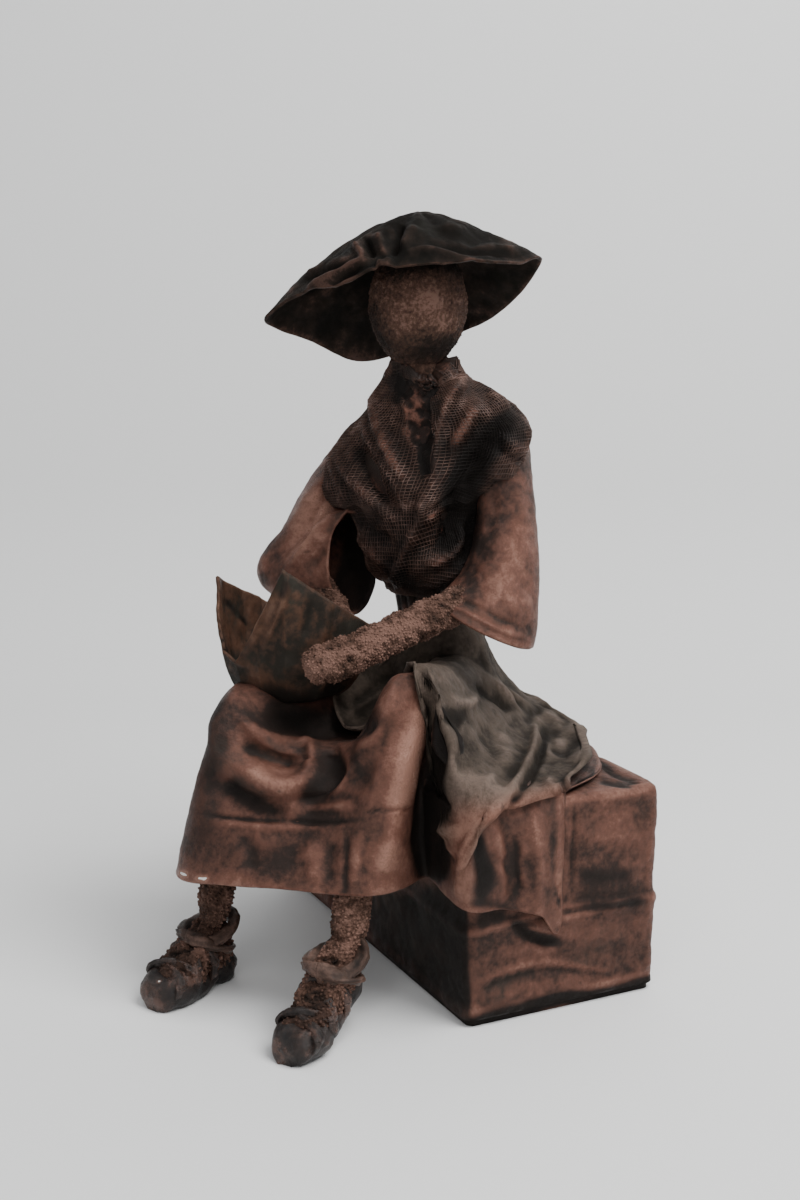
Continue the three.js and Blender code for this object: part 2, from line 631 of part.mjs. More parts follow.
// Legs below the knee, each with a crumb-coated instep
const feet = {
  right: {
    shin: [[-70, -172, 160, limbRadius + 0.5], [-68, -190, 105, limbRadius], [-67, -205, 45, limbRadius - 0.5]],
    toe: [-78, -258], aim: -96, lift: 0,
  },
  left: {
    shin: [[42, -162, 160, limbRadius + 0.5], [41, -186, 105, limbRadius], [45, -208, 50, limbRadius - 0.5]],
    toe: [45, -274], aim: -90, lift: 20,
  },
};
const footForward = (foot) => v3(Math.cos(rad(foot.aim)), Math.sin(rad(foot.aim)), 0);
const footPlace = (foot, share) => v3(foot.toe[0], foot.toe[1], 0)
  .addScaledVector(footForward(foot), shoeLength * (share - 1));

function footRing(foot, share, halfWidth, low, high) {
  const forward = footForward(foot);
  const side = v3(-forward.y, forward.x, 0);
  const raised = foot.lift * Math.max(1 - share / 0.75, 0);
  const ring = [];
  for (let i = 0; i < limbSteps; i += 1) {
    const a = (2 * Math.PI * i) / limbSteps;
    const across = halfWidth * Math.sign(Math.cos(a)) * Math.abs(Math.cos(a)) ** 0.7;
    const point = footPlace(foot, share).addScaledVector(side, across);
    const z = (low + high) / 2 + ((high - low) / 2) * 1.25 * Math.sin(a);
    point.z = Math.min(Math.max(z, low), high) + raised;
    ring.push(point);
  }
  return ring;
}

function makeShoe(foot) {
  const w = shoeWidth / 2;
  const h = shoeHeight;
  const rings = [
    [0, w * 0.35, 0, h * 0.7], [0.06, w * 0.55, 0, h * 0.95], [0.25, w * 0.64, 0, h * 0.8],
    [0.48, w * 0.8, 0, h * 0.66], [0.68, w, 0, h * 0.9], [0.85, w * 0.96, 0, h * 0.86],
    [0.96, w * 0.72, 0, h * 0.6], [1, w * 0.4, 0, h * 0.4],
  ];
  return solidOf(placed(loft(rings.map(([share, ...rest]) => footRing(foot, share, ...rest)))));
}

function makeLeg(foot, ...neighbours) {
  const instep = [
    [0.1, 10, 10, 44], [0.28, 13, 10, 46], [0.48, 14.5, 9, 37], [0.66, 14, 9, 29], [0.78, 10, 10, 24],
  ];
  const top = solidOf(placed(loft(instep.map(([share, ...rest]) => footRing(foot, share, ...rest)))));
  return clearOf(limb(foot.shin, 10, 5).add(top), ...neighbours);
}

// Wrapped cloth strap round the ankle, leaning with the foot
function makeStrap(foot, ...neighbours) {
  const forward = footForward(foot);
  const side = v3(-forward.y, forward.x, 0);
  const centre = footPlace(foot, 0.25).setZ(41 + foot.lift * 0.5);
  const rings = [];
  const steps = 12;
  for (let i = 0; i < steps; i += 1) {
    const a = (2 * Math.PI * i) / steps;
    const out = forward.clone().multiplyScalar(Math.cos(a)).addScaledVector(side, Math.sin(a));
    const middle = centre.clone();
    middle.addScaledVector(forward, 17 * Math.cos(a)).addScaledVector(side, 15.5 * Math.sin(a));
    middle.z -= 6 * Math.cos(a);
    rings.push(oval(middle.toArray(), out.clone().multiplyScalar(3.4).toArray(), [0, 0, 6.2], 6));
  }
  return clearOf(solidOf(placed(closedTube(rings))), ...neighbours);
}

function closedTube(rings) {
  const n = rings[0].length;
  const faces = [];
  rings.forEach((_, j) => {
    for (let i = 0; i < n; i += 1) {
      const [k, l] = [(i + 1) % n, (j + 1) % rings.length];
      faces.push([j * n + i, j * n + k, l * n + k], [j * n + i, l * n + k, l * n + i]);
    }
  });
  return geometryFrom(rings.flat(), faces);
}

const block = makeBlock();
const { bowl, filled: bowlFilled } = makeBowl();
const skirt = clearOf(makeSkirt(), block, bowlFilled);
const apron = clearOf(makeApron(skirt), bowlFilled, block);
const bodice = clearOf(makeBodice(skirt), apron);
const head = makeHead(bodice);
const hat = makeHat(head);
const sleeveLeft = makeSleeve(leftSleeve, bodice);
const sleeveRight = makeSleeve(rightSleeve, bodice, bowl);
const shawl = makeShawl(bodice, head, sleeveLeft, sleeveRight, skirt, apron);
const forearmLeft = clearOf(
  limb([[66, -57, 268, 11], [46, -84, 257, 12], [23, -116, 243, 12], [3, -144, 231, 13], [-14, -166, 226, 12]]),
  sleeveLeft, bowlFilled, apron, skirt,
);
const forearmRight = clearOf(
  limb([[-96, -68, 272, 10.5], [-72, -70, 262, 11], [-52, -78, 249, 11], [-38, -92, 240, 11.5]]),
  sleeveRight, bowlFilled, apron, skirt, bodice,
);
const shoes = { right: makeShoe(feet.right), left: makeShoe(feet.left) };
const legs = { right: makeLeg(feet.right, shoes.right, skirt), left: makeLeg(feet.left, shoes.left, skirt, block) };
const straps = {
  right: makeStrap(feet.right, legs.right, shoes.right),
  left: makeStrap(feet.left, legs.left, shoes.left),
};

const paint = (color, roughness, metalness) => new THREE.MeshStandardMaterial({ color, roughness, metalness });
const bronzeCloth = paint(0x6a4238, 0.55, 0.25);
const greyCloth = paint(0x554a42, 0.75, 0.1);
const darkCloth = paint(0x3a2c28, 0.7, 0.1);
const crumb = paint(0x5a4038, 0.9, 0.05);
const shoeCloth = paint(0x2b2422, 0.45, 0.1);

const group = new THREE.Group();
const parts = [
  ["seat_block", block, bronzeCloth], ["skirt", skirt, bronzeCloth], ["apron", apron, greyCloth],
  ["bodice", bodice, darkCloth], ["head", head, crumb], ["hat", hat, darkCloth],
  ["sleeve_left", sleeveLeft, bronzeCloth], ["sleeve_right", sleeveRight, bronzeCloth], ["shawl", shawl, darkCloth],
  ["forearm_left", forearmLeft, crumb], ["forearm_right", forearmRight, crumb], ["cloth_bowl", bowl, bronzeCloth],
  ["leg_left", legs.left, crumb], ["leg_right", legs.right, crumb], ["shoe_left", shoes.left, shoeCloth],
  ["shoe_right", shoes.right, shoeCloth], ["ankle_wrap_left", straps.left, bronzeCloth],
  ["ankle_wrap_right", straps.right, bronzeCloth],
];
for (const [name, solid, material] of parts) {
  const mesh = new THREE.Mesh(geometryOf(solid), material);
  mesh.name = name;
  group.add(mesh);
}

export default group;
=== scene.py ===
# Seated figure of stiffened, painted cloth on a cloth-covered block, holding an open cloth bowl.
# Shapes are worked out in millimetres in the figure's own frame, facing -Y, then turned onto the block.
import bpy
import math
import numpy as np
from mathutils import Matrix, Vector


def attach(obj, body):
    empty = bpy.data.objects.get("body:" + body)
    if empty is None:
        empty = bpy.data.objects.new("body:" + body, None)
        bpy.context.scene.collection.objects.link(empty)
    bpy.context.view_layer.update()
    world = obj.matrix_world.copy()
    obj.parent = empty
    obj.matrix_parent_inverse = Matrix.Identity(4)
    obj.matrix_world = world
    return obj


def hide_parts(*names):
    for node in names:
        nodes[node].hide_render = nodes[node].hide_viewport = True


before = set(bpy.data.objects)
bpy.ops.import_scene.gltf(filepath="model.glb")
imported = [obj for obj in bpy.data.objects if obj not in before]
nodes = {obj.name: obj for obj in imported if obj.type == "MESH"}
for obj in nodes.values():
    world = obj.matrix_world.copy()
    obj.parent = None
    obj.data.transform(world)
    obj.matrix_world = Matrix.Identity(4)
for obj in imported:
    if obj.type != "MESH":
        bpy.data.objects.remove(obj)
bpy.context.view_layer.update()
print("frame: ", len(nodes), "solids")

# Degrees and millimetres
figure = {"turn": 32.0, "seat": (-40.0, 10.0)}
blockSize = {"length": 300.0, "width": 150.0, "height": 148.0, "corner": 9.0, "foot": 5.0, "ridge": 66.0}
clearance = {"block": 0.45, "apron": 4.6, "hat": 1.6}
# Worked out from the block's edges in the photograph: place in metres, the rest in degrees and pixels
photoCamera = {
    "place": (1.0514, -0.5627, 0.500), "look": (-0.8988, 0.4384), "pitch": 11.7, "lens": 50.64,
    "focal": 1688.0, "middle": (400, 600),
}


def linked(name, data):
    made = bpy.data.objects.new(name, data)
    bpy.context.scene.collection.objects.link(made)
    return made


def makeCamera():
    camera = linked("camera", bpy.data.cameras.new("camera"))
    camera.data.sensor_width = 36
    camera.data.lens = photoCamera["lens"]
    pitch = math.radians(photoCamera["pitch"])
    lookX, lookY = photoCamera["look"]
    aim = Vector((lookX * math.cos(pitch), lookY * math.cos(pitch), -math.sin(pitch)))
    camera.location = photoCamera["place"]
    camera.rotation_mode = "QUATERNION"
    camera.rotation_quaternion = aim.to_track_quat("-Z", "Y")
    camera.data.clip_start = 0.05
    camera.data.clip_end = 30
    bpy.context.scene.camera = camera
    print("camera: stands where the photograph was taken")


makeCamera()


# A smooth curve through pairs of numbers, read at x. It closes on itself after a period
def curveThrough(pairs, x, period=0):
    at = np.array(pairs, float)
    x = np.asarray(x, float)
    if period:
        at = np.vstack([at[-2:] - [period, 0], at, at[:2] + [period, 0]])
        x = at[2, 0] + np.mod(x - at[2, 0], period)
    px, py = at[:, 0], at[:, 1]
    last = len(px) - 1
    i = np.clip(np.searchsorted(px, x, side="right") - 1, 0, last - 1)
    before, after = np.maximum(i - 1, 0), np.minimum(i + 2, last)
    width = px[i + 1] - px[i]
    m1 = (py[i + 1] - py[before]) / (px[i + 1] - px[before]) * width
    m2 = (py[after] - py[i]) / (px[after] - px[i]) * width
    t = np.clip((x - px[i]) / width, 0, 1)
    h = t * t * (3 - 2 * t)
    return py[i] * (1 - h) + py[i + 1] * h + m1 * (t**3 - 2 * t * t + t) + m2 * (t**3 - t * t)


# A curve through each column of a table, read at places between its rows
def alongTable(table, at):
    table = np.array(table, float)
    index = np.arange(len(table))
    return [curveThrough(np.column_stack([index, column]), at) for column in table.T]


def circle(columns):
    return np.linspace(0, 2 * np.pi, columns, endpoint=False)


def ease(x, low, high):
    t = np.clip((x - low) / (high - low), 0, 1)
    return t * t * (3 - 2 * t)


def bell(x, width):
    return np.exp(-((x / width) ** 2))


# Smooth random values between about -1 and 1, each layer half as strong and twice as fine
def softNoise(points, size, seed, layers):
    cells = 32
    table = np.random.default_rng(seed).uniform(-1, 1, (cells, cells, cells))
    total = np.zeros(points.shape[:-1])
    for layer in range(layers):
        p = points / size * 2.03**layer
        cell = np.floor(p).astype(int)
        t = p - cell
        t = t * t * (3 - 2 * t)
        value = 0
        for dx in (0, 1):
            for dy in (0, 1):
                for dz in (0, 1):
                    weight = (t[..., 0] if dx else 1 - t[..., 0]) * (t[..., 1] if dy else 1 - t[..., 1])
                    weight = weight * (t[..., 2] if dz else 1 - t[..., 2])
                    corner = (cell + [dx, dy, dz]) % cells
                    value = value + weight * table[corner[..., 0], corner[..., 1], corner[..., 2]]
        total += value * 0.5**layer
    return total


# From the figure's own frame to the block's, and back
def onBlock(points):
    turn = math.radians(figure["turn"])
    c, s = math.cos(turn), math.sin(turn)
    x, y = points[..., 0], points[..., 1]
    placed = np.empty_like(points, dtype=float)
    placed[..., 0] = x * c - y * s + figure["seat"][0]
    placed[..., 1] = x * s + y * c + figure["seat"][1]
    placed[..., 2] = points[..., 2]
    return placed


def offTurn(points):
    turn = math.radians(-figure["turn"])
    c, s = math.cos(turn), math.sin(turn)
    x, y = points[..., 0] - figure["seat"][0], points[..., 1] - figure["seat"][1]
    return np.stack([x * c - y * s, x * s + y * c, points[..., 2]], -1)


def lookAxes():
    pitch = math.radians(photoCamera["pitch"])
    flat = np.array([*photoCamera["look"], 0])
    ahead = flat * math.cos(pitch) - np.array([0, 0, math.sin(pitch)])
    right = np.array([flat[1], -flat[0], 0])
    return ahead, right, np.cross(right, ahead)


# Where points on the block's frame lie in the photograph
def toPixels(placed):
    ahead, right, up = lookAxes()
    offset = placed / 1000 - np.array(photoCamera["place"])
    depth = offset @ ahead
    x = photoCamera["middle"][0] + photoCamera["focal"] * (offset @ right) / depth
    y = photoCamera["middle"][1] - photoCamera["focal"] * (offset @ up) / depth
    return np.stack([x, y], -1)


# 1 where a surface faces the camera, 0 where it faces away
def towardsCamera(placed, normals):
    back = np.array(photoCamera["place"]) * 1000 - placed
    back /= np.linalg.norm(back, axis=-1, keepdims=True)
    return ease((back * normals).sum(-1), 0.02, 0.3)


# Height of drawn folds at some pixels. Each fold is (height, width, width on its other side, points)
def foldHeights(pixels, folds):
    perPoint = 8
    heights = np.zeros(pixels.shape[:-1])
    for high, wide, under, *path in folds:
        x, y = alongTable(path, np.linspace(0, len(path) - 1, perPoint * (len(path) - 1) + 1))
        margin = 3 * max(wide, under)
        near = (pixels[..., 0] > x.min() - margin) & (pixels[..., 0] < x.max() + margin)
        near &= (pixels[..., 1] > y.min() - margin) & (pixels[..., 1] < y.max() + margin)
        if not near.any():
            continue
        spots = pixels[near]
        best = np.full(len(spots), 1e9)
        side = np.ones(len(spots))
        along = np.zeros(len(spots))
        for k in range(len(x) - 1):
            dx, dy = x[k + 1] - x[k], y[k + 1] - y[k]
            size = dx * dx + dy * dy + 1e-9
            ox, oy = spots[:, 0] - x[k], spots[:, 1] - y[k]
            t = np.clip((ox * dx + oy * dy) / size, 0, 1)
            far = np.hypot(ox - t * dx, oy - t * dy)
            closer = far < best
            best = np.where(closer, far, best)
            side = np.where(closer, np.sign(dx * oy - dy * ox), side)
            along = np.where(closer, (k + t) / (len(x) - 1), along)
        width = np.where(side > 0, under, wide)
        taper = ease(along, -0.04, 0.26) * ease(1 - along, -0.04, 0.26)  # dies out at both ends
        heights[near] += high * np.exp(-((best / width) ** 2)) * taper
    return heights


def gridNormals(grid, wraps=True, outward=1):
    across = np.roll(grid, -1, 1) - np.roll(grid, 1, 1) if wraps else np.gradient(grid, axis=1)
    along = np.gradient(grid, axis=0)
    normals = np.cross(across, along) * outward
    return normals / np.maximum(np.linalg.norm(normals, axis=-1, keepdims=True), 1e-9)


def raised(grid, heights):
    return grid + gridNormals(grid) * heights[..., None]


# Height of drawn folds on a surface, where the camera sees it
def drawnOn(grid, normals, folds):
    placed = onBlock(grid)
    turned = onBlock(grid + normals) - placed
    return foldHeights(toPixels(placed), folds) * towardsCamera(placed, turned)


# Moves a surface out by lumps, fine unevenness and the folds drawn for it
def shaped(grid, outward, folds=(), wraps=True, lumps=0.5, lumpSize=22, fine=0.12, seed=1, keep=1):
    fineSize = 3.1
    normals = gridNormals(grid, wraps, outward)
    heights = softNoise(grid, lumpSize, seed, 3) * lumps + softNoise(grid, fineSize, seed + 1, 2) * fine
    heights = heights * keep + drawnOn(grid, normals, folds) * keep
    return grid + normals * heights[..., None]


def gridFaces(rows, columns, wraps):
    across = np.arange(columns if wraps else columns - 1)
    i, j = np.meshgrid(np.arange(rows - 1), across, indexing="ij")
    k = (j + 1) % columns
    low, high = i * columns, (i + 1) * columns
    return np.stack([low + j, low + k, high + k, high + j], -1).reshape(-1, 4)


# The UV corners of a grid's faces, in centimetres of cloth
def faceUvs(grid, wraps):
    steps = np.linalg.norm(np.diff(grid, axis=0), axis=2).mean(1)
    v = np.concatenate([[0], np.cumsum(steps)])
    around = np.linalg.norm(np.roll(grid, -1, 1) - grid, axis=2)
    widest = around[np.argmax(around.sum(1))]
    u = np.concatenate([[0], np.cumsum(widest)])
    if not wraps:
        u = u[:-1]
    uv = np.stack(np.meshgrid(u, v), -1) / 10
    return np.stack([uv[:-1, :-1], uv[:-1, 1:], uv[1:, 1:], uv[1:, :-1]], -2).reshape(-1, 4, 2)


def signedVolume(grid):
    rows, columns, _ = grid.shape
    quads = gridFaces(rows, columns, True)
    p = grid.reshape(-1, 3) - grid.reshape(-1, 3).mean(0)
    a, b, c, d = (p[quads[:, k]] for k in range(4))
    return (np.cross(a, b) * c).sum() + (np.cross(a, c) * d).sum()


def outwardOf(grid):
    return 1 if signedVolume(grid) > 0 else -1


class Solid:
    # Gathers closed surfaces, then makes one object of them
    def __init__(self):
        self.points, self.faces, self.uvs, self.count = [], [], [], 0

    def add(self, points, faces, uvs):
        self.points.append(points)
        self.faces.append(faces + self.count)
        self.uvs.append(uvs)
        self.count += len(points)
        return self

    # A surface through rings, closed by a fan of triangles at each end
    def loft(self, grid):
        if signedVolume(grid) < 0:
            grid = grid[::-1]
        rows, columns, _ = grid.shape
        ring, last = np.arange(columns), (rows - 1) * columns
        after = (ring + 1) % columns
        lowPole, highPole = np.full(columns, rows * columns), np.full(columns, rows * columns + 1)
        low = np.stack([after, ring, lowPole, lowPole], -1)
        high = np.stack([last + ring, last + after, highPole, highPole], -1)
        points = np.vstack([grid.reshape(-1, 3), grid[0].mean(0), grid[-1].mean(0)])
        faces = np.vstack([gridFaces(rows, columns, True), low, high])
        return self.add(points, faces, np.concatenate([faceUvs(grid, True), np.zeros((2 * columns, 4, 2))]))

    # Two sides of a sheet, with walls along its border
    def sheet(self, outer, inner):
        rows, columns, _ = outer.shape
        size = rows * columns
        top = gridFaces(rows, columns, False)
        grid = np.arange(size).reshape(rows, columns)
        edge = np.concatenate([grid[0, :], grid[1:, -1], grid[-1, -2::-1], grid[-2:0:-1, 0]])
        after = np.roll(edge, -1)
        walls = np.stack([after, edge, edge + size, after + size], -1)
        corners = faceUvs(outer, False)
        faces = np.vstack([top, top[:, ::-1] + size, walls])
        uvs = np.concatenate([corners, corners[:, ::-1], np.zeros((len(walls), 4, 2))])
        if (gridNormals(outer, False) * (outer - inner)).sum() < 0:
            faces, uvs = faces[:, ::-1], uvs[:, ::-1]
        return self.add(np.vstack([outer.reshape(-1, 3), inner.reshape(-1, 3)]), faces, uvs)

    def build(self, name, tones=()):
        points = onBlock(np.vstack(self.points)) / 1000
        piece = meshObject(name, points, np.vstack(self.faces), np.concatenate(self.uvs))
        return toned(piece, tones)


# Faces are four corners each, and a triangle repeats its last one
def meshObject(name, points, faces, uvs):
    mesh = bpy.data.meshes.new(name)
    triangles = faces[:, 2] == faces[:, 3]
    counts = np.where(triangles, 3, 4)
    keep = np.ones(faces.shape, bool)
    keep[triangles, 3] = False
    corners = faces[keep]
    mesh.vertices.add(len(points))
    mesh.vertices.foreach_set("co", points.astype(np.float32).ravel())
    mesh.loops.add(len(corners))
    mesh.loops.foreach_set("vertex_index", corners.astype(np.int32))
    mesh.polygons.add(len(faces))
    starts = np.concatenate([[0], np.cumsum(counts)[:-1]])
    mesh.polygons.foreach_set("loop_start", starts.astype(np.int32))
    mesh.update(calc_edges=True)
    mesh.uv_layers.new(name="UVMap").data.foreach_set("uv", uvs[keep].astype(np.float32).ravel())
    mesh.polygons.foreach_set("use_smooth", np.ones(len(faces), bool))
    mesh.validate()
    piece = linked(name, mesh)
    addRubAndShade(mesh)
    return piece


def vectorsOf(mesh, what):
    values = np.empty(len(mesh.vertices) * 3, np.float32)
    mesh.vertices.foreach_get(what, values)
    return values.reshape(-1, 3).astype(float)


# Stores where the paint is lighter or darker than elsewhere, from strokes drawn like folds: mostly painted
# highlights and painted shade, with some real stains, chips and warmer paint
def toned(piece, tones, name="tone"):
    mesh = piece.data
    shades = foldHeights(toPixels(vectorsOf(mesh, "co") * 1000), tones)
    stored = mesh.attributes.get(name) or mesh.attributes.new(name, "FLOAT", "POINT")
    stored.data.foreach_set("value", shades.astype(np.float32))
    return piece


# Stores how far each point stands out of or lies in its surroundings, for rubbed, lighter ridges and for
# painted shade in hollows
def addRubAndShade(mesh, rounds=24, reach=0.0014):
    count = len(mesh.vertices)
    points = vectorsOf(mesh, "co")
    edges = np.empty(len(mesh.edges) * 2, np.int32)
    mesh.edges.foreach_get("vertices", edges)
    a, b = edges.reshape(-1, 2).T
    degree = np.maximum(np.bincount(a, minlength=count) + np.bincount(b, minlength=count), 1)
    smooth = points.copy()
    for _ in range(rounds):
        for axis in range(3):
            total = np.bincount(a, smooth[b, axis], count) + np.bincount(b, smooth[a, axis], count)
            smooth[:, axis] = 0.4 * smooth[:, axis] + 0.6 * total / degree
    height = ((points - smooth) * vectorsOf(mesh, "normal")).sum(1)
    values = np.clip(height / reach, -1, 1) * 0.5 + 0.5
    mesh.attributes.new("rubAndShade", "FLOAT", "POINT").data.foreach_set("value", values.astype(np.float32))


class Value:
    # A shader socket that takes part in plain arithmetic
    def __init__(self, maker, socket):
        self.maker, self.socket = maker, socket

    def __add__(self, other):
        return self.maker.math("ADD", self, other)

    __radd__ = __add__

    def __sub__(self, other):
        return self.maker.math("SUBTRACT", self, other)

    def __rsub__(self, other):
        return self.maker.math("SUBTRACT", other, self)

    def __mul__(self, other):
        return self.maker.math("MULTIPLY", self, other)

    __rmul__ = __mul__

    def __neg__(self):
        return self.maker.math("MULTIPLY", self, -1)

    def ramp(self, low, high):
        smooth = {"interpolation_type": "SMOOTHSTEP"}
        return self.maker.node("ShaderNodeMapRange", smooth, {0: self, 1: low, 2: high})


class Finish:
    # One material, and the nodes made for it
    def __init__(self, name):
        self.material = bpy.data.materials.new(name)
        self.material.use_nodes = True
        self.tree = self.material.node_tree
        self.shader = self.tree.nodes["Principled BSDF"]
        self.place = self.node("ShaderNodeTexCoord", out="Object")
        self.uv = self.node("ShaderNodeTexCoord", out="UV")

    def node(self, kind, settings=None, inputs=None, out=0):
        made = self.tree.nodes.new(kind)
        for key, value in (settings or {}).items():
            setattr(made, key, value)
        for key, value in (inputs or {}).items():
            self.feed(made.inputs[key], value)
        return Value(self, made.outputs[out])

    def feed(self, socket, value):
        if isinstance(value, Value):
            self.tree.links.new(value.socket, socket)
        else:
            socket.default_value = value

    def math(self, kind, first, second):
        return self.node("ShaderNodeMath", {"operation": kind}, {0: first, 1: second})

    def noise(self, scale, detail, rough):
        wanted = {"Vector": self.place, "Scale": scale, "Detail": detail, "Roughness": rough}
        return self.node("ShaderNodeTexNoise", None, wanted)

    def mix(self, factor, first, second):
        first, second = (c if isinstance(c, Value) else (*c, 1) for c in (first, second))
        return self.node("ShaderNodeMix", {"data_type": "RGBA"}, {0: factor, 6: first, 7: second}, out=2)

    def attribute(self, name):
        return self.node("ShaderNodeAttribute", {"attribute_name": name}, out="Fac")

    def split(self, vector):
        parts = self.node("ShaderNodeSeparateXYZ", None, {0: vector}).socket.node
        return [Value(self, part) for part in parts.outputs]

    def shade(self, **inputs):
        for key, value in inputs.items():
            self.feed(self.shader.inputs[key.replace("_", " ")], value)

    def bump(self, height, strength, distance):
        wanted = {"Strength": strength, "Distance": distance, "Height": height}
        self.shade(Normal=self.node("ShaderNodeBump", None, wanted))


# Painted, stiffened cloth: dark ground, reddish bronze rubbed over it, painted shade in the folds and painted
# highlights on ridges and lit places.
# A tone over 3 is a bare white chip, a tone over 0 mostly a painted highlight, and a tone under 0 painted
# shade, with a few real dark stains
def paintedCloth(name, look):
    finish = Finish(name)
    rubAndShade, tone = finish.attribute("rubAndShade"), finish.attribute("tone")
    broad = finish.noise(look["patch"] * 0.5, 4, 0.55).ramp(0.28, 0.72)
    patches = finish.noise(look["patch"] * 1.7, 5, 0.6).ramp(0.34, 0.72)
    grain = finish.noise(620, 3, 0.75)
    coarse = finish.noise(look["grains"], 4, 0.65)
    stain = finish.noise(look["patch"] * 0.8, 3, 0.5).ramp(0.5, 0.72)
    mottle = (broad - 0.5) * 0.5 + (patches - 0.5) * 0.45
    # wear and light: rubbed bronze, mottling and specks, plus the painted light and shade of the tone strokes
    wearAndLight = (rubAndShade - 0.5) * look["rubAndShade"] + mottle * look["mottle"] + (coarse - 0.5) * look["speck"]
    wearAndLight = wearAndLight + tone * 0.75 + look["cover"] + 0.4

    def layered(paint):
        ground = finish.mix(stain * look["grey"], paint["dark"], paint["ash"])
        middle = finish.mix(wearAndLight.ramp(-0.25, 0.8), ground, paint["base"])
        # painted highlight: the lit colour on ridges and on lighter tone strokes, over the rubbed bronze
        rubbedAndLit = (wearAndLight + (grain - 0.5) * 1.1).ramp(0.6, 1.5) * look["shine"]
        return finish.mix(rubbedAndLit, middle, paint["lit"])

    light = layered(look)
    if "warm" in look:
        light = finish.mix(finish.attribute("warm"), light, layered(look["warm"]))
    # painted shade: creases and hollows darken towards the deep colour
    hollow = (0.5 - rubAndShade).ramp(0.1, 0.5) * look["hollow"]
    shade = finish.mix(hollow, light, look["deep"])
    marks = finish.noise(95, 2, 0.4).ramp(0.68, 0.76) * 0.5
    shade = finish.mix(marks, shade, look["dark"])
    # painted shade from dark tone strokes, with a few real stains
    smudgeAndShade = -tone * (patches * 0.8 + coarse * 0.8 + 0.15)
    shade = finish.mix(smudgeAndShade.ramp(0.08, 1.0) * 0.9, shade, look["deep"])
    finish.shade(Base_Color=finish.mix((tone + coarse * 2).ramp(3.0, 3.3), shade, look["chip"]))
    finish.shade(Roughness=look["rough"] + (0.5 - wearAndLight) * 0.14 + (grain - 0.5) * 0.25)
    finish.shade(Metallic=look["metal"], Specular_IOR_Level=look["gloss"])
    u, v, _ = finish.split(finish.uv)
    weave = finish.math("SINE", u * look["threads"], 0) * finish.math("SINE", v * look["threads"], 0)
    relief = weave * 0.3 + grain * 1.1 + coarse * 1.4
    finish.bump(relief, look["bump"], 0.0006)
    return finish.material


# lit is a painted highlight colour, and deep the painted shade colour of creases, hollows and gaps between
# crumbs; hollow is how strongly that shade is painted
bronze = {
    "dark": (0.024, 0.015, 0.012), "ash": (0.062, 0.045, 0.035), "base": (0.128, 0.056, 0.039),
    "lit": (0.27, 0.142, 0.104), "deep": (0.007, 0.005, 0.004), "chip": (0.72, 0.7, 0.66),
    "cover": -0.02, "rubAndShade": 1.2, "mottle": 1.1, "patch": 24, "speck": 1.2, "grains": 240, "grey": 0.4,
    "shine": 0.8, "hollow": 0.5, "rough": 0.42, "metal": 0.22, "gloss": 0.2, "threads": 78, "bump": 0.6,
}
# What each finish changes in the bronze one
looks = {
    "bronzeCloth": {},
    "blockCloth": {"cover": 0.0, "mottle": 0.95, "patch": 22, "rough": 0.52},
    "bowlCloth": {
        "dark": (0.020, 0.016, 0.012), "ash": (0.042, 0.038, 0.028), "base": (0.086, 0.043, 0.027),
        "lit": (0.16, 0.086, 0.056), "cover": -0.3, "mottle": 2.2, "patch": 32, "grey": 0.8,
    },
    "sleeveCloth": {"cover": 0.08, "mottle": 1.4, "patch": 30, "grey": 0.7},
    "greyCloth": {
        "dark": (0.022, 0.017, 0.013), "ash": (0.048, 0.042, 0.033), "base": (0.070, 0.052, 0.040),
        "lit": (0.16, 0.117, 0.094), "rough": 0.68, "metal": 0.0, "gloss": 0.1, "cover": 0.02, "mottle": 1.0,
        "warm": bronze,
    },
    "hatCloth": {
        "dark": (0.007, 0.006, 0.005), "ash": (0.013, 0.012, 0.009), "base": (0.019, 0.013, 0.010),
        "lit": (0.085, 0.047, 0.036), "rubAndShade": 1.7, "rough": 0.55, "gloss": 0.05, "metal": 0.0, "cover": -0.1,
        "mottle": 1.6, "patch": 30,
    },
    "darkCloth": {
        "dark": (0.007, 0.005, 0.004), "base": (0.022, 0.012, 0.009), "lit": (0.20, 0.088, 0.062),
        "cover": -0.2, "gloss": 0.16, "metal": 0.0,
    },
    "netThread": {
        "dark": (0.022, 0.014, 0.011), "base": (0.078, 0.043, 0.032), "lit": (0.26, 0.165, 0.135),
        "cover": 0.0, "patch": 40, "mottle": 1.8, "metal": 0.0, "gloss": 0.25,
    },
    "crumb": {
        "dark": (0.020, 0.013, 0.010), "base": (0.082, 0.043, 0.030), "lit": (0.22, 0.122, 0.092),
        "cover": 0.0, "rubAndShade": 1.5, "mottle": 1.2, "patch": 30, "speck": 2.6, "grains": 430, "hollow": 0.85,
        "rough": 0.78, "metal": 0.0, "gloss": 0.16, "bump": 1.0,
    },
    "shoeCloth": {
        "dark": (0.008, 0.007, 0.007), "base": (0.026, 0.017, 0.014), "lit": (0.11, 0.062, 0.048),
        "cover": -0.1, "mottle": 1.6, "patch": 60, "rough": 0.34, "metal": 0.0, "gloss": 0.3, "bump": 0.5,
    },
    "strapCloth": {
        "dark": (0.014, 0.010, 0.008), "base": (0.060, 0.036, 0.027), "lit": (0.16, 0.095, 0.073),
        "cover": -0.05, "mottle": 1.6, "patch": 50, "metal": 0.0,
    },
}
finishes = {name: paintedCloth(name + "Paint", {**bronze, **look}) for name, look in looks.items()}
print("finishes:", len(finishes))


# Gives a piece its finish, and names the solids that it stands for
def finished(piece, slot, finish, *stands):
    piece.data.materials.clear()
    piece.data.materials.append(finishes[finish])
    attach(piece, "root")
    if stands:
        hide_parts(*stands)
    triangles = sum(len(p.vertices) - 2 for p in piece.data.polygons)
    print(f"{piece.name}: {triangles} triangles")
    return piece


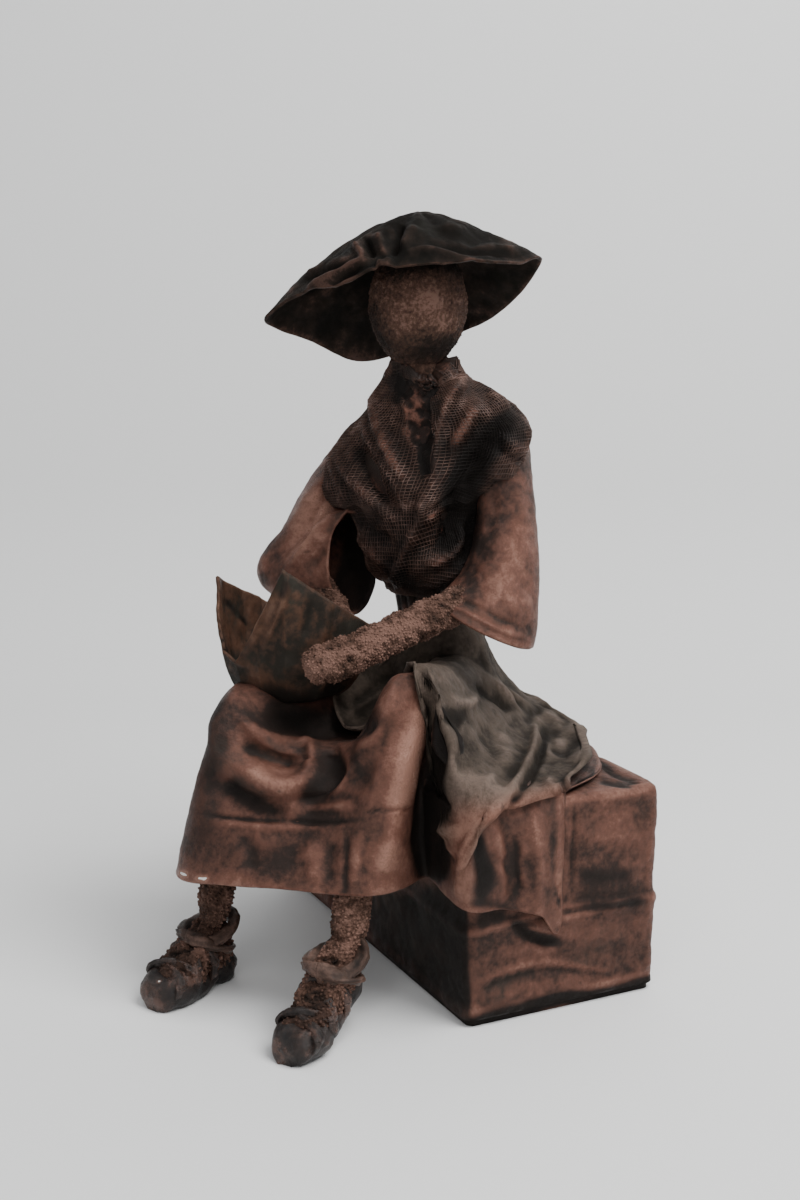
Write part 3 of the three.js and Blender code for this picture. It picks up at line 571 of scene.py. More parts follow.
# The skirt has a profile for each direction round the waist: a lap over both thighs, then a hanging part
skirt = {
    "centre": (-5.0, -15.0), "waist": 250.0, "waistRadius": 24.0, "hem": 90.0, "thigh": 22.0, "wall": 2.2,
    "front": (-149.0, -32.0), "frontStep": 0.46, "backStep": 3.0, "lapRows": 44, "hangRows": 100,
    "foldDepth": 7.0, "overBlock": 3.2, "softness": 7.0, "liningStep": 6,
    "thighs": (((-26, -12, 178.2), (-72, -176, 186.2)), ((20, -12, 178.2), (58, -148, 206.2))),
}
# Folds and tones are height, width, width on the other side, then pixels of the photograph
skirtFolds = (
    # rim of the lap
    (4.0, 8, 7, (232, 706), (246, 724), (262, 735), (290, 743), (326, 747), (362, 742), (398, 720)),
    (-5.0, 14, 12, (262, 712), (300, 724), (345, 730), (386, 716)),  # sag behind it
    (3.6, 6, 5, (296, 738), (308, 748), (311, 760), (303, 770)),  # its curl
    (-4.4, 7, 6, (240, 742), (258, 752), (282, 760), (300, 764)),
    (6.5, 13, 8, (232, 762), (252, 776), (276, 788), (298, 786), (316, 772), (328, 754)),  # slack pouch
    (-8.6, 12, 13, (342, 748), (332, 776), (316, 796), (292, 810)),  # deep dark pocket
    (-6.0, 10, 9, (216, 776), (236, 794), (262, 808), (290, 814)),
    (4.0, 5, 6, (344, 744), (346, 766), (338, 786), (322, 800)),
    (3.2, 6, 5, (292, 811), (312, 808), (334, 806), (356, 806)),
    (-1.8, 2.6, 2.6, (280, 821), (320, 822), (358, 820)),
    (-1.8, 2.5, 2, (206, 815), (230, 818), (262, 820), (290, 821)),  # hem seam, left
    (1.2, 4, 4, (206, 823), (240, 825), (290, 828), (340, 828)),
    (-4.2, 12, 14, (394, 712), (382, 740), (366, 768), (352, 792)),  # hollow beside the knee
    (5.0, 16, 11, (426, 698), (414, 735), (404, 770), (396, 805), (388, 845), (380, 880)),  # knee ridge
    # dark fall beside it
    (-9.0, 10, 12, (448, 705), (444, 740), (434, 775), (428, 812), (426, 850), (428, 895)),
    (-1.4, 2, 2, (362, 812), (390, 809), (418, 808)),  # hem seam, right
    (2.0, 4, 14, (360, 830), (357, 858), (354, 892)),  # step of the hem
    (-1.8, 4, 4, (349, 826), (346, 862), (344, 906)),
    (-2.4, 9, 9, (224, 732), (214, 765), (208, 800)),
    (2.0, 11, 11, (212, 740), (202, 790), (192, 850)),
    (-2.0, 8, 8, (238, 834), (250, 850), (248, 872)),
    (2.6, 13, 12, (300, 844), (316, 862), (312, 884)),
    (-2.4, 9, 9, (334, 838), (328, 862), (330, 886)),
    (1.6, 6, 6, (392, 832), (384, 856), (382, 874)),
    (-4.0, 7, 9, (474, 824), (480, 852), (486, 880), (478, 906)),  # over the block's end
    (2.8, 6, 5, (494, 818), (500, 860), (502, 905)),
    (-2.0, 6, 6, (514, 830), (516, 870), (514, 912)),
    (2.0, 7, 6, (532, 800), (538, 850), (540, 925)),
    (-1.6, 5, 5, (556, 806), (554, 850), (560, 905)),
    (1.8, 3, 3, (462, 834), (460, 870), (457, 900)),
    (-1.6, 5, 5, (488, 850), (510, 870), (524, 892)),
    (1.4, 5, 5, (530, 842), (520, 862), (524, 890)),
    (-4.0, 14, 14, (438, 700), (450, 725), (452, 750), (444, 776)),  # lies lower under the apron
    (-5.0, 14, 14, (438, 780), (446, 804), (452, 826)),
)
# Painted highlights on the lit knee and thigh, painted shade in the hollows, under the apron and on the
# shaded left side, and bare white chips at the hem
skirtLightAndChips = (
    (-1.2, 14, 13, (258, 706), (300, 718), (345, 724), (386, 706)),
    (-0.65, 26, 30, (214, 690), (206, 780), (192, 876)),
    (-0.35, 22, 22, (216, 852), (260, 856), (300, 852)),
    (-0.7, 12, 12, (228, 776), (246, 794), (272, 808)),
    (-0.7, 11, 11, (334, 752), (322, 780), (300, 802)),
    (-0.5, 7, 7, (292, 818), (330, 822)),
    (0.6, 12, 12, (246, 762), (276, 776), (300, 770)),
    (0.5, 6, 6, (305, 808), (330, 805), (350, 806)),
    (1.5, 20, 14, (426, 684), (410, 760), (394, 822)),
    (0.9, 18, 18, (392, 840), (388, 872)),
    (0.35, 10, 10, (306, 850), (318, 862)),
    (-1.3, 10, 10, (446, 706), (438, 750), (428, 800), (424, 850), (426, 892)),
    (-1.4, 9, 9, (446, 835), (440, 885)),
    (-1.2, 8, 13, (472, 820), (480, 850), (487, 880), (474, 910)),
    (-0.5, 7, 7, (514, 850), (516, 880)),
    (0.35, 18, 18, (510, 830), (545, 850), (550, 900)),
    (-0.5, 6, 6, (552, 850), (534, 870), (548, 895)),
    (-0.6, 5, 5, (462, 905), (500, 906), (545, 928)),
    # painted shade where the skirt goes under the apron
    (-2.6, 10, 8, (437, 694), (440, 735), (442, 785)),  # dark where it goes under the apron
    (-2.6, 8, 8, (440, 696), (452, 720), (462, 745), (464, 768)),
    (-2.6, 14, 12, (434, 772), (444, 800), (450, 838)),
    (-0.5, 12, 12, (205, 700), (222, 712)),
    (3.0, 2.2, 2.2, (179, 871), (183, 874), (189, 875)),  # bare chips at the hem
    (3.0, 2.6, 2.4, (196, 877), (202, 879), (209, 878)),
)


# How far the block's edge is from the waist in each direction
def blockEdge(degrees, margin=0.0):
    turn = math.radians(figure["turn"])
    start = onBlock(np.array([*skirt["centre"], 0.0]))
    angle = np.radians(degrees) + turn
    dx, dy = np.cos(angle), np.sin(angle)
    dx = np.where(np.abs(dx) < 1e-9, 1e-9, dx)
    dy = np.where(np.abs(dy) < 1e-9, 1e-9, dy)
    byX = (np.sign(dx) * (blockSize["length"] / 2 + margin) - start[0]) / dx
    byY = (np.sign(dy) * (blockSize["width"] / 2 + margin) - start[1]) / dy
    return np.minimum(byX, byY)


# Direction in degrees, then radius or height of the hem and of the turn at the knees
blockTop = blockSize["height"] + skirt["overBlock"]
skirtBack = [
    (-30.5, 182), (-15, 163), (0, 134), (15, 110), (35, 90), (58, 82), (85, 84), (115, 88), (145, 84),
    (168, 86),
]
hemRadius = [
    (-174, 98), (-160, 122), (-147, 134), (-133, 148), (-119, 198), (-109, 225), (-98, 220), (-87, 207),
    (-76, 200), (-68, 186), (-60, 172), (-52.6, 204), (-45, 196), (-32, 192), *skirtBack,
]
hemLevel = [
    (-174, blockTop), (-168, 140), (-160, 104), (-147, skirt["hem"] + 2), (-109, skirt["hem"] - 5),
    (-98, skirt["hem"]), (-87, skirt["hem"] + 2), (-66, skirt["hem"] + 1), (-52.6, 86), (-45, 81), (-38, 75),
    (-32, 66), (-30.5, blockTop), (-15, blockTop), (90, blockTop),
]
kneeRadius = [
    (-174, 92), (-160, 104), (-147, 112), (-133, 126), (-119, 166), (-109, 190), (-98, 178), (-87, 162),
    (-76, 166), (-68, 168), (-60, 168), (-52.6, 202), (-45, 195), (-32, 191), *skirtBack,
]


def thighHeight(x, y, hip, knee):
    hip, knee = np.array(hip, float), np.array(knee, float)
    along = knee - hip
    flat = along[:2]
    t = np.clip(((x - hip[0]) * flat[0] + (y - hip[1]) * flat[1]) / (flat @ flat), 0, 1.05)
    away = np.hypot(x - hip[0] - along[0] * t, y - hip[1] - along[1] * t) / (skirt["thigh"] * 1.4)
    return blockTop + (hip[2] + along[2] * t + skirt["thigh"] - blockTop) / (1 + away**3)


# The cloth lies over waist, thighs and block, with soft hollows between them
def lapHeight(x, y, radius):
    fromWaist = np.maximum(radius - skirt["waistRadius"] + 2, 0) / 25
    waist = blockTop + (skirt["waist"] - blockTop) * np.exp(-(fromWaist**1.15))
    front = np.clip((-y - 20) / 60, 0, 1) * np.exp(-(((x + 8) / 105) ** 6))
    heights = [waist, blockTop + front * 16] + [thighHeight(x, y, *t) for t in skirt["thighs"]]
    softness = skirt["softness"]
    total = sum(np.exp((h - blockTop) / softness) for h in heights)
    return blockTop + softness * np.log(total - len(heights) + 1)


# Swags under the lap, a ridge and a hollow at the left knee, and pleats over the block's end
def foldOut(degrees, share):
    span = (degrees + 93) / 22
    hang = np.sin(np.pi * np.minimum(share * 1.25, 1))
    swag = np.exp(-(span**2)) * np.cos(2 * np.pi * (share * 2.1 + 0.35 * span**2))
    below = np.minimum(share * 3, 1)
    ridge = bell(degrees + 70, 5) * below
    hollow = -2.4 * bell(degrees + 59.5, 3.5) * below
    overEnd = (degrees > -56) & (degrees < -30.5)
    pleats = np.where(overEnd, 0.35 * np.sin(np.radians(degrees) * 26) * share, 0)
    return skirt["foldDepth"] * (0.7 * swag * hang + ridge + hollow + pleats)


# Radius and height of the skirt's surface, a column for each direction
def skirtProfiles(degrees, lapRows, hangRows):
    angle = np.radians(degrees)
    c, s = np.cos(angle), np.sin(angle)
    centreX, centreY = skirt["centre"]
    turnRadius = curveThrough(kneeRadius, degrees, 360)
    endRadius = curveThrough(hemRadius, degrees, 360)
    endLevel = curveThrough(hemLevel, degrees, 360)

    def lap(r):
        return lapHeight(centreX + r * c, centreY + r * s, r)

    drop = np.maximum(lap(turnRadius) - endLevel, 0.5)
    rounding = np.minimum(np.minimum(16, drop * 0.4), np.maximum(turnRadius - blockEdge(degrees), 1))
    shoulder = turnRadius - rounding
    radii, levels = [], []
    for i in range(lapRows + 1):
        r = skirt["waistRadius"] + (shoulder - skirt["waistRadius"]) * (i / lapRows) ** 1.12
        radii.append(r)
        levels.append(lap(r))
    top = lap(shoulder)
    cornerR, cornerZ = turnRadius + 1, top - 1
    endLow = np.minimum(endLevel, top - 2.4)
    lowR, lowZ = cornerR + (endRadius - cornerR) * 0.4, top + (endLow - top) * 0.45
    for i in range(1, hangRows + 1):
        t = i / hangRows
        k = 1 - t
        w = (k**3, 3 * k * k * t, 3 * k * t * t, t**3)
        fold = np.where(drop > 30, foldOut(degrees, t), 0)
        radii.append(w[0] * shoulder + w[1] * cornerR + w[2] * lowR + w[3] * endRadius + fold)
        levels.append(w[0] * top + w[1] * cornerZ + w[2] * lowZ + w[3] * endLow)
    return np.array(radii), np.array(levels)


def roundSkirt(degrees, radii, levels):
    angle = np.radians(degrees)
    centreX, centreY = skirt["centre"]
    return np.stack([centreX + radii * np.cos(angle), centreY + radii * np.sin(angle), levels], -1)


# Keeps cloth off the block: on top of it, or beside it where it hangs
def offBlock(points, hangs, clear=clearance["block"]):
    placed = onBlock(points)
    halfX, halfY = blockSize["length"] / 2 + clear, blockSize["width"] / 2 + clear
    x, y, z = placed[..., 0], placed[..., 1], placed[..., 2]
    inside = (np.abs(x) < halfX) & (np.abs(y) < halfY) & (z < blockSize["height"] + clear)
    toX, toY = halfX - np.abs(x), halfY - np.abs(y)
    pushX = inside & hangs & (toX < toY)
    pushY = inside & hangs & ~(toX < toY)
    x = np.where(pushX, np.sign(x) * halfX, x)
    y = np.where(pushY, np.sign(y) * halfY, y)
    z = np.where(inside & ~hangs, blockSize["height"] + clear, z)
    return offTurn(np.stack([x, y, z], -1))


def makeSkirt():
    low, high = skirt["front"]
    front = np.arange(low, high + 1e-6, skirt["frontStep"])
    back = np.arange(high + 1.5, low + 358, skirt["backStep"])
    degrees = np.concatenate([front, back])
    radii, levels = skirtProfiles(degrees, skirt["lapRows"], skirt["hangRows"])
    outer = roundSkirt(degrees, radii, levels)
    hangs = levels[-1] < blockSize["height"] - 1
    share = np.linspace(0, 1, len(outer))[:, None]
    keep = ease(share, 0.02, 0.1) * np.ones(len(degrees))
    outer = shaped(outer, -1, skirtFolds, lumps=0.8, fine=0.16, seed=11, keep=keep)
    outer = offBlock(outer, hangs, clearance["block"] + skirt["wall"])
    lining = offBlock(outer - gridNormals(outer, True, -1) * skirt["wall"], hangs)
    step = skirt["liningStep"]
    inner = lining[np.arange(len(outer) - 1, skirt["lapRows"] + step, -step)]
    seat = np.minimum(radii[-1], blockEdge(degrees, 0.5)) * 0.9
    deepest = roundSkirt(degrees, seat, np.full(len(degrees), blockSize["height"] + 0.6))
    inner = np.concatenate([inner, [deepest], [deepest * [0.4, 0.4, 1]]])
    lip = (outer[-1] + lining[-1]) / 2 + np.array([0, 0, -0.5]) * hangs[:, None]
    piece = Solid().loft(np.concatenate([outer, [lip], inner])).build("clothSkirt", skirtLightAndChips)
    finished(piece, "bronze_cloth", "bronzeCloth", "skirt")


makeSkirt()


# The apron is a sheet that follows the skirt's profiles
apron = {
    "rows": 80, "start": 9.0, "wall": 1.9, "roll": 2.6, "rollWidth": 2.4, "fold": 2.4,
    "step": 0.5, "backStep": 2.4, "lapRows": 90, "hangRows": 120,
}
# Direction in degrees, radius of its edge, and how far it hangs over the turn
apronEdge = [
    (-114, 88, 0), (-98, 106, 0), (-88, 112, 0), (-80, 102, 0), (-73, 88, 0), (-67, 118, 0), (-62, 158, 14),
    (-58, 172, 70), (-54, 188, 60), (-49, 188, 22), (-42, 188, 8), (-33, 184, 4), (-26, 172, 0),
    (-15, 154, 0), (0, 127, 0), (15, 112, 0), (35, 98, 0), (52, 86, 0), (80, 84, 0),
    (104, 84, 0), (120, 78, 0),
]
apronFolds = (
    (3.4, 6, 4, (478, 668), (500, 690), (520, 702), (536, 712)),  # roll from the hip
    (-3.4, 4, 5, (474, 680), (494, 700), (514, 712)),
    # its right border
    (5.4, 8, 3.5, (534, 712), (535, 733), (529, 758), (513, 786), (488, 812), (470, 830)),
    (-4.6, 3.5, 6, (544, 724), (543, 745), (534, 770), (518, 794), (498, 818)),
    (3.4, 5, 5, (446, 690), (458, 703), (470, 703), (478, 692)),  # pleat under the waist
    (-3.4, 5, 6, (444, 704), (456, 720), (464, 724)),
    (3.2, 5, 5, (444, 722), (452, 745), (448, 775), (442, 800)),
    (-3.0, 6, 6, (436, 728), (440, 760), (434, 800)),
    (4.6, 5, 4, (422, 806), (432, 825), (446, 831), (462, 828)),  # pocket's rim
    (-3.6, 8, 8, (434, 780), (440, 800), (450, 812)),
    (2.4, 9, 9, (480, 700), (498, 716), (512, 724)),
    (-2.0, 8, 8, (478, 730), (490, 745), (500, 760)),
    (2.0, 10, 10, (500, 730), (506, 752), (498, 775)),
    (5.0, 10, 9, (556, 728), (576, 734), (584, 750), (576, 768)),  # puff at the edge
    (-4.0, 4, 4, (548, 742), (560, 750), (572, 752)),
    (-6.0, 4, 4, (563, 778), (566, 787), (568, 796)),
    (3.6, 6, 5, (546, 774), (554, 790), (572, 798)),
    (3.6, 5, 4, (538, 714), (552, 720), (562, 730)),
    (-3.4, 4, 4, (534, 728), (546, 734), (556, 742)),
    (2.6, 4, 4, (402, 678), (372, 700), (345, 716)),
    (-2.6, 5, 5, (398, 666), (372, 688), (350, 704)),
    (2.4, 5, 5, (498, 772), (480, 788), (466, 802)),
    (2.6, 4, 4, (470, 836), (462, 860), (458, 900)),
    (-2.0, 6, 6, (452, 850), (448, 880)),
    (2.0, 3, 3, (588, 766), (574, 782), (560, 796)),
)
# Painted shade in the pleats and along the border, painted highlights on the puff and the pocket's rim
apronPaintedLight = (
    (-0.9, 8, 8, (446, 710), (464, 724)),
    (-1.3, 9, 9, (434, 728), (438, 765), (430, 810)),
    (-1.0, 10, 10, (432, 786), (442, 806)),
    (0.5, 4, 4, (424, 818), (434, 828), (456, 830)),
    (-0.8, 4, 4, (545, 724), (545, 745), (536, 770), (520, 794), (500, 820)),
    (0.5, 14, 14, (560, 736), (574, 748)),
    (-0.9, 4, 4, (563, 776), (567, 794)),
    (0.3, 22, 22, (496, 716), (500, 750), (478, 800)),
    (-0.8, 10, 10, (448, 850), (445, 890)),
    (-0.6, 9, 9, (380, 700), (350, 712)),
)
apronWarmth = (
    (1.0, 14, 14, (592, 790), (545, 802), (500, 816), (480, 832)),
    (1.0, 16, 18, (474, 796), (464, 832), (458, 870), (456, 905)),
)


def makeApron():
    first, last = apronEdge[0][0], apronEdge[-1][0]
    front, back = np.arange(first, -20, apron["step"]), np.arange(-20, last, apron["backStep"])
    degrees = np.concatenate([front, back, [last]])
    degrees = np.unique(np.where((degrees > -32) & (degrees < -30.5), -30.5, degrees))
    radii, levels = skirtProfiles(degrees, apron["lapRows"], apron["hangRows"])
    radius = curveThrough([(d, r) for d, r, _ in apronEdge], degrees)
    hang = np.maximum(curveThrough([(d, h) for d, _, h in apronEdge], degrees), 0)
    steps = np.hypot(np.diff(radii, axis=0), np.diff(levels, axis=0))
    length = np.vstack([np.zeros(len(degrees)), np.cumsum(steps, axis=0)])
    shares = np.linspace(0, 1, apron["rows"] + 1)
    turn = apron["lapRows"]
    outer = np.empty((len(shares), len(degrees), 3))

    def profile(k, at):
        return np.interp(at, length[:, k], radii[:, k]), np.interp(at, length[:, k], levels[:, k])

    for k, direction in enumerate(degrees):
        lapLength = np.interp(min(radius[k], radii[turn, k]), radii[: turn + 1, k], length[: turn + 1, k])
        reach = min(lapLength + hang[k], length[-1, k]) - apron["start"]
        at = apron["start"] + reach * shares
        r, z = profile(k, at)
        aheadR, aheadZ = profile(k, np.minimum(at + 2, length[-1, k]))
        behindR, behindZ = profile(k, np.maximum(at - 2, 0))
        dr, dz = aheadR - behindR, aheadZ - behindZ
        size = np.hypot(dr, dz)
        swell = np.maximum(np.sin(np.radians(direction) * 8 + shares * 4), 0)
        fold = apron["fold"] * swell * np.sin(np.pi * shares)
        edge = (1 - shares) * reach
        side = min(direction - first, last - direction) * 1.6
        rolled = np.maximum(bell(edge - 2.2, apron["rollWidth"]), bell(side - 2.2, apron["rollWidth"]))
        lift = clearance["apron"] + 3 * bell(shares, 0.25) + fold + apron["roll"] * rolled
        outer[:, k] = roundSkirt(np.full(len(r), direction), r - dz / size * lift, z + dr / size * lift)
    outer = shaped(outer, -1, apronFolds, wraps=False, lumps=1.5, lumpSize=20, fine=0.16, seed=23)
    inner = outer - gridNormals(outer, False, -1) * apron["wall"]
    piece = Solid().sheet(outer, inner).build("clothApron", apronPaintedLight)
    toned(piece, apronWarmth, "warm")
    finished(piece, "grey_cloth", "greyCloth", "apron")


makeApron()


# Rings one over another. A level is height, centre, two half widths and lean
def levelRings(levels, rows, columns):
    lines = alongTable(levels, np.linspace(0, len(levels) - 1, rows))
    z, x, y, a, b, lean = (line[:, None] for line in lines)
    c, s = np.cos(circle(columns)), np.sin(circle(columns))
    return np.stack([x + a * c, y + b * s, z + a * lean * c], -1)


bodice = {
    "rows": 64, "columns": 110,
    "levels": (
        (238, -6, -22, 22, 18, 0), (258, -6, -26, 23, 18, 0), (278, -8, -31, 26, 19, 0.02),
        (305, -9, -36, 35, 23, 0.05), (335, -9, -39, 43, 26, 0.12), (360, -9, -36, 47, 25, 0.2),
        (378, -6, -34, 38, 21, 0.24), (392, -4, -35, 23, 17, 0.15), (399, -3, -37, 16, 14, 0),
    ),
}


def makeBodice():
    grid = levelRings(bodice["levels"], bodice["rows"], bodice["columns"])
    level = grid[..., 2]
    gathers = 1.1 * np.sin(circle(bodice["columns"]) * 17 + level * 0.02) * bell(level - 255, 28)
    grid = shaped(raised(grid, gathers - 0.6), 1, lumps=0.8, fine=0.25, seed=31)
    finished(Solid().loft(grid).build("clothBodice"), "dark_cloth", "darkCloth", "bodice")


makeBodice()

shawl = {
    "rows": 132, "columns": 254, "netRows": 240, "netColumns": 640, "mesh": 2.35, "thread": 0.36,
    "threadSides": 3, "lift": 0.5,
    "levels": (
        (256, -7, -29, 26, 22, 0), (264, -6, -31, 30, 24, 0.02), (271, -2, -35, 42, 28, 0.03),
        (292, -2, -38, 47, 30, 0.04), (318, -5, -40, 52, 33, 0.1), (328, -8, -38, 70, 34, 0.16),
        (346, -7, -34, 86, 32, 0.2), (364, -5, -32, 84, 30, 0.22), (380, -3, -32, 68, 27, 0.22),
        (396, 1, -34, 44, 24, 0.16), (411, 2, -36, 30, 21, 0.06), (424, 1, -37, 23, 20, 0.04),
    ),
}
shawlFolds = (
    (6.5, 8, 5, (396, 364), (382, 388), (378, 416), (386, 446), (402, 474), (416, 500)),  # left lapel
    (7.5, 5, 9, (470, 372), (452, 398), (441, 430), (435, 462), (430, 492)),  # right lapel
    # fall from the shoulder
    (-17.0, 18, 12, (518, 404), (492, 430), (470, 458), (455, 492), (447, 530), (442, 570)),
    (5.0, 6, 5, (364, 420), (374, 446), (392, 478), (412, 508)),
    (-6.0, 6, 6, (354, 432), (364, 462), (384, 496), (404, 520)),
    (5.0, 6, 5, (334, 446), (348, 476), (376, 504), (404, 524)),
    (3.4, 3.5, 4, (326, 450), (338, 476), (346, 508)),  # hem over the right sleeve
    (-5.0, 6, 6, (346, 500), (368, 526), (396, 546)),
    (3.6, 5, 4, (352, 524), (374, 552), (400, 574)),
    (6.0, 5, 5, (424, 484), (422, 512), (410, 542), (398, 572), (402, 592)),
    (-7.0, 8, 8, (436, 500), (432, 530), (420, 560)),
    (5.6, 4, 4, (423, 526), (436, 515), (458, 508), (482, 500)),
    (5.0, 4, 5, (460, 522), (464, 540), (450, 556), (426, 568)),
    (-7.0, 6, 6, (446, 530), (438, 546), (422, 556)),
    (-7.0, 8, 8, (482, 508), (476, 540), (464, 566)),
    (4.4, 5, 5, (470, 560), (450, 575), (424, 588)),
    (4.4, 6, 5, (462, 382), (488, 394), (512, 410)),
    (-4.0, 5, 5, (470, 374), (496, 388), (518, 402)),
    (3.6, 5, 5, (478, 404), (462, 430), (446, 452)),
    (-2.6, 4, 4, (486, 408), (470, 434), (452, 460)),
    (3.0, 4, 4, (486, 474), (506, 474), (532, 464)),
    (3.0, 4, 4, (500, 430), (512, 444), (530, 450)),
    (-3.0, 4, 4, (494, 446), (512, 456), (530, 460)),
)
# Painted shade in the fall from the shoulder, in the folds and in the opening, painted highlights on the
# lapels and ridges
shawlPaintedLight = (
    (-2.4, 17, 10, (520, 404), (492, 434), (470, 462), (456, 494), (449, 530), (442, 575)),
    (-1.0, 7, 7, (394, 368), (400, 390), (396, 408)),
    (-0.7, 8, 8, (356, 440), (370, 474), (392, 510)),
    (-1.6, 11, 13, (488, 492), (480, 535), (462, 584)),
    (-0.7, 10, 10, (384, 556), (420, 592), (474, 578)),
    (-0.5, 8, 8, (350, 504), (372, 530), (396, 548)),
    (0.8, 6, 6, (425, 524), (438, 514), (460, 508)),
    (0.8, 5, 5, (462, 532), (456, 550), (434, 562)),
    (0.6, 8, 8, (372, 425), (388, 456), (406, 486)),
    (0.8, 12, 12, (458, 392), (462, 412), (446, 446)),
    (0.7, 12, 12, (512, 446), (526, 466)),
    (1.1, 11, 11, (416, 382), (413, 398), (415, 422), (420, 458)),
    (-0.8, 12, 12, (424, 350), (420, 364), (424, 380)),
    (-0.6, 4, 4, (404, 420), (414, 424)),
    (0.4, 10, 10, (350, 470), (380, 505)),
)
shawlOpening = (
    (1.0, 22, 24, (422, 345), (420, 362), (418, 384), (418, 402)),
    (1.0, 13, 14, (418, 374), (418, 400), (421, 428), (424, 448)),
    (0.9, 9, 9, (421, 425), (425, 450), (428, 484)),
)


# 1 where the shawl lies open over the chest, 0 where net covers it
def shawlOpen(grid):
    belowCollar = ease(-grid[..., 2], -420, -402)
    return ease(drawnOn(grid, gridNormals(grid), shawlOpening), 0.35, 0.6) * belowCollar


def shawlSurface(rows, columns):
    grid = levelRings(shawl["levels"], rows, columns)
    ragged = softNoise(grid, 7, 46, 2) * 5
    direction = np.degrees(np.arctan2(grid[..., 1] + 36, grid[..., 0]))
    grid[..., 2] += ease(grid[..., 2], 406, 424) * (ragged - 15 * bell(direction + 55, 38))
    grid = shaped(grid, 1, shawlFolds, lumps=2.0, lumpSize=22, fine=0.45, seed=41)
    grid = raised(grid, softNoise(grid, 8.5, 47, 2) * 0.9)
    knots = softNoise(grid, 6.5, 43, 2) * 1.7 + softNoise(grid, 2.4, 44, 1) * 0.6
    return raised(grid, (knots - 3.2) * shawlOpen(grid))


def makeShawl():
    grid = shawlSurface(shawl["rows"], shawl["columns"])
    finished(Solid().loft(grid).build("clothShawl", shawlPaintedLight), "dark_cloth", "darkCloth")


# Polylines that follow the shawl both ways, as thread
def netLines():
    rows, columns, mesh = shawl["netRows"], shawl["netColumns"], shawl["mesh"]
    fine = shawlSurface(rows, columns)
    covered = shawlOpen(fine) < 0.5
    fine = fine + gridNormals(fine) * shawl["lift"]
    points, edges = [], []

    def addLine(line, shown, closed):
        start = len(points)
        points.extend(line)
        count = len(line)
        for k in range(count if closed else count - 1):
            after = (k + 1) % count
            if shown[k] and shown[after]:
                edges.append((start + k, start + after))

    height = np.linalg.norm(np.diff(fine, axis=0), axis=2).mean(1).sum()
    for row in np.linspace(2, rows - 3, int(height / mesh)):
        low = int(row)
        ring = fine[low] + (fine[low + 1] - fine[low]) * (row - low)
        around = np.linalg.norm(np.roll(ring, -1, 0) - ring, axis=1)
        length = np.concatenate([[0], np.cumsum(around)])
        at = np.linspace(0, length[-1], int(length[-1] / mesh), endpoint=False)
        loop = np.vstack([ring, ring[:1]])
        shown = np.interp(at, length, np.append(covered[low], covered[low][:1]).astype(float)) > 0.5
        addLine(np.column_stack([np.interp(at, length, loop[:, k]) for k in range(3)]), shown, True)
    around = np.linalg.norm(np.roll(fine, -1, 1) - fine, axis=2).sum(1)
    upright = slice(2, rows - 2, 4)
    for column in np.linspace(0, columns, int(np.percentile(around, 70) / mesh), endpoint=False):
        addLine(fine[upright, int(column)], covered[upright, int(column)], False)
    points, edges = np.array(points), np.array(edges)
    used, edges = np.unique(edges, return_inverse=True)
    return points[used], edges.reshape(-1, 2)


# A tree that takes a mesh and some named numbers
def startTree(name, numbers):
    tree = bpy.data.node_groups.new(name, "GeometryNodeTree")
    face = tree.interface
    face.new_socket("Geometry", in_out="INPUT", socket_type="NodeSocketGeometry")
    keys = {}
    for number in numbers:
        keys[number] = face.new_socket(number, in_out="INPUT", socket_type="NodeSocketFloat").identifier
    face.new_socket("Geometry", in_out="OUTPUT", socket_type="NodeSocketGeometry")
    return tree, tree.nodes.new("NodeGroupInput").outputs, keys


# Its end: everything real, in one finish
def endTree(tree, grown, finish):
    add, link = tree.nodes.new, tree.links.new
    real, paint = add("GeometryNodeRealizeInstances"), add("GeometryNodeSetMaterial")
    result = add("NodeGroupOutput")
    paint.inputs["Material"].default_value = finishes[finish]
    link(grown, real.inputs[0])
    link(real.outputs[0], paint.inputs["Geometry"])
    link(paint.outputs[0], result.inputs[0])


def netTree():
    tree, source, keys = startTree("netThreads", ["Thread radius"])
    add, link = tree.nodes.new, tree.links.new
    curves = add("GeometryNodeMeshToCurve")
    profile = add("GeometryNodeCurvePrimitiveCircle")
    profile.inputs["Resolution"].default_value = shawl["threadSides"]
    tube = add("GeometryNodeCurveToMesh")
    link(source["Geometry"], curves.inputs[0])
    link(source["Thread radius"], profile.inputs["Radius"])
    link(curves.outputs[0], tube.inputs["Curve"])
    link(profile.outputs[0], tube.inputs["Profile Curve"])
    endTree(tree, tube.outputs[0], "netThread")
    return tree, keys


# Runs a tree on some points and edges or faces, and returns the plain result
def grownPiece(name, source, tree, keys, values):
    modifier = source.modifiers.new("grow", "NODES")
    modifier.node_group = tree
    for number, value in values.items():
        modifier[keys[number]] = value
    bpy.context.view_layer.update()
    evaluated = source.evaluated_get(bpy.context.evaluated_depsgraph_get())
    mesh = bpy.data.meshes.new_from_object(evaluated)
    mesh.name = name
    source.modifiers.clear()
    bpy.data.objects.remove(source)
    mesh.polygons.foreach_set("use_smooth", np.ones(len(mesh.polygons), bool))
    return linked(name, mesh)


def makeNet():
    points, edges = netLines()
    wires = bpy.data.meshes.new("netWires")
    wires.from_pydata((onBlock(points) / 1000).tolist(), edges.tolist(), [])
    values = {"Thread radius": shawl["thread"] / 1000}
    net = grownPiece("netShawl", linked("netWires", wires), *netTree(), values)
    addRubAndShade(net.data, rounds=1, reach=0.0006)
    toned(net, shawlPaintedLight)
    finished(net, "net_cloth", "netThread", "shawl")


makeShawl()
makeNet()


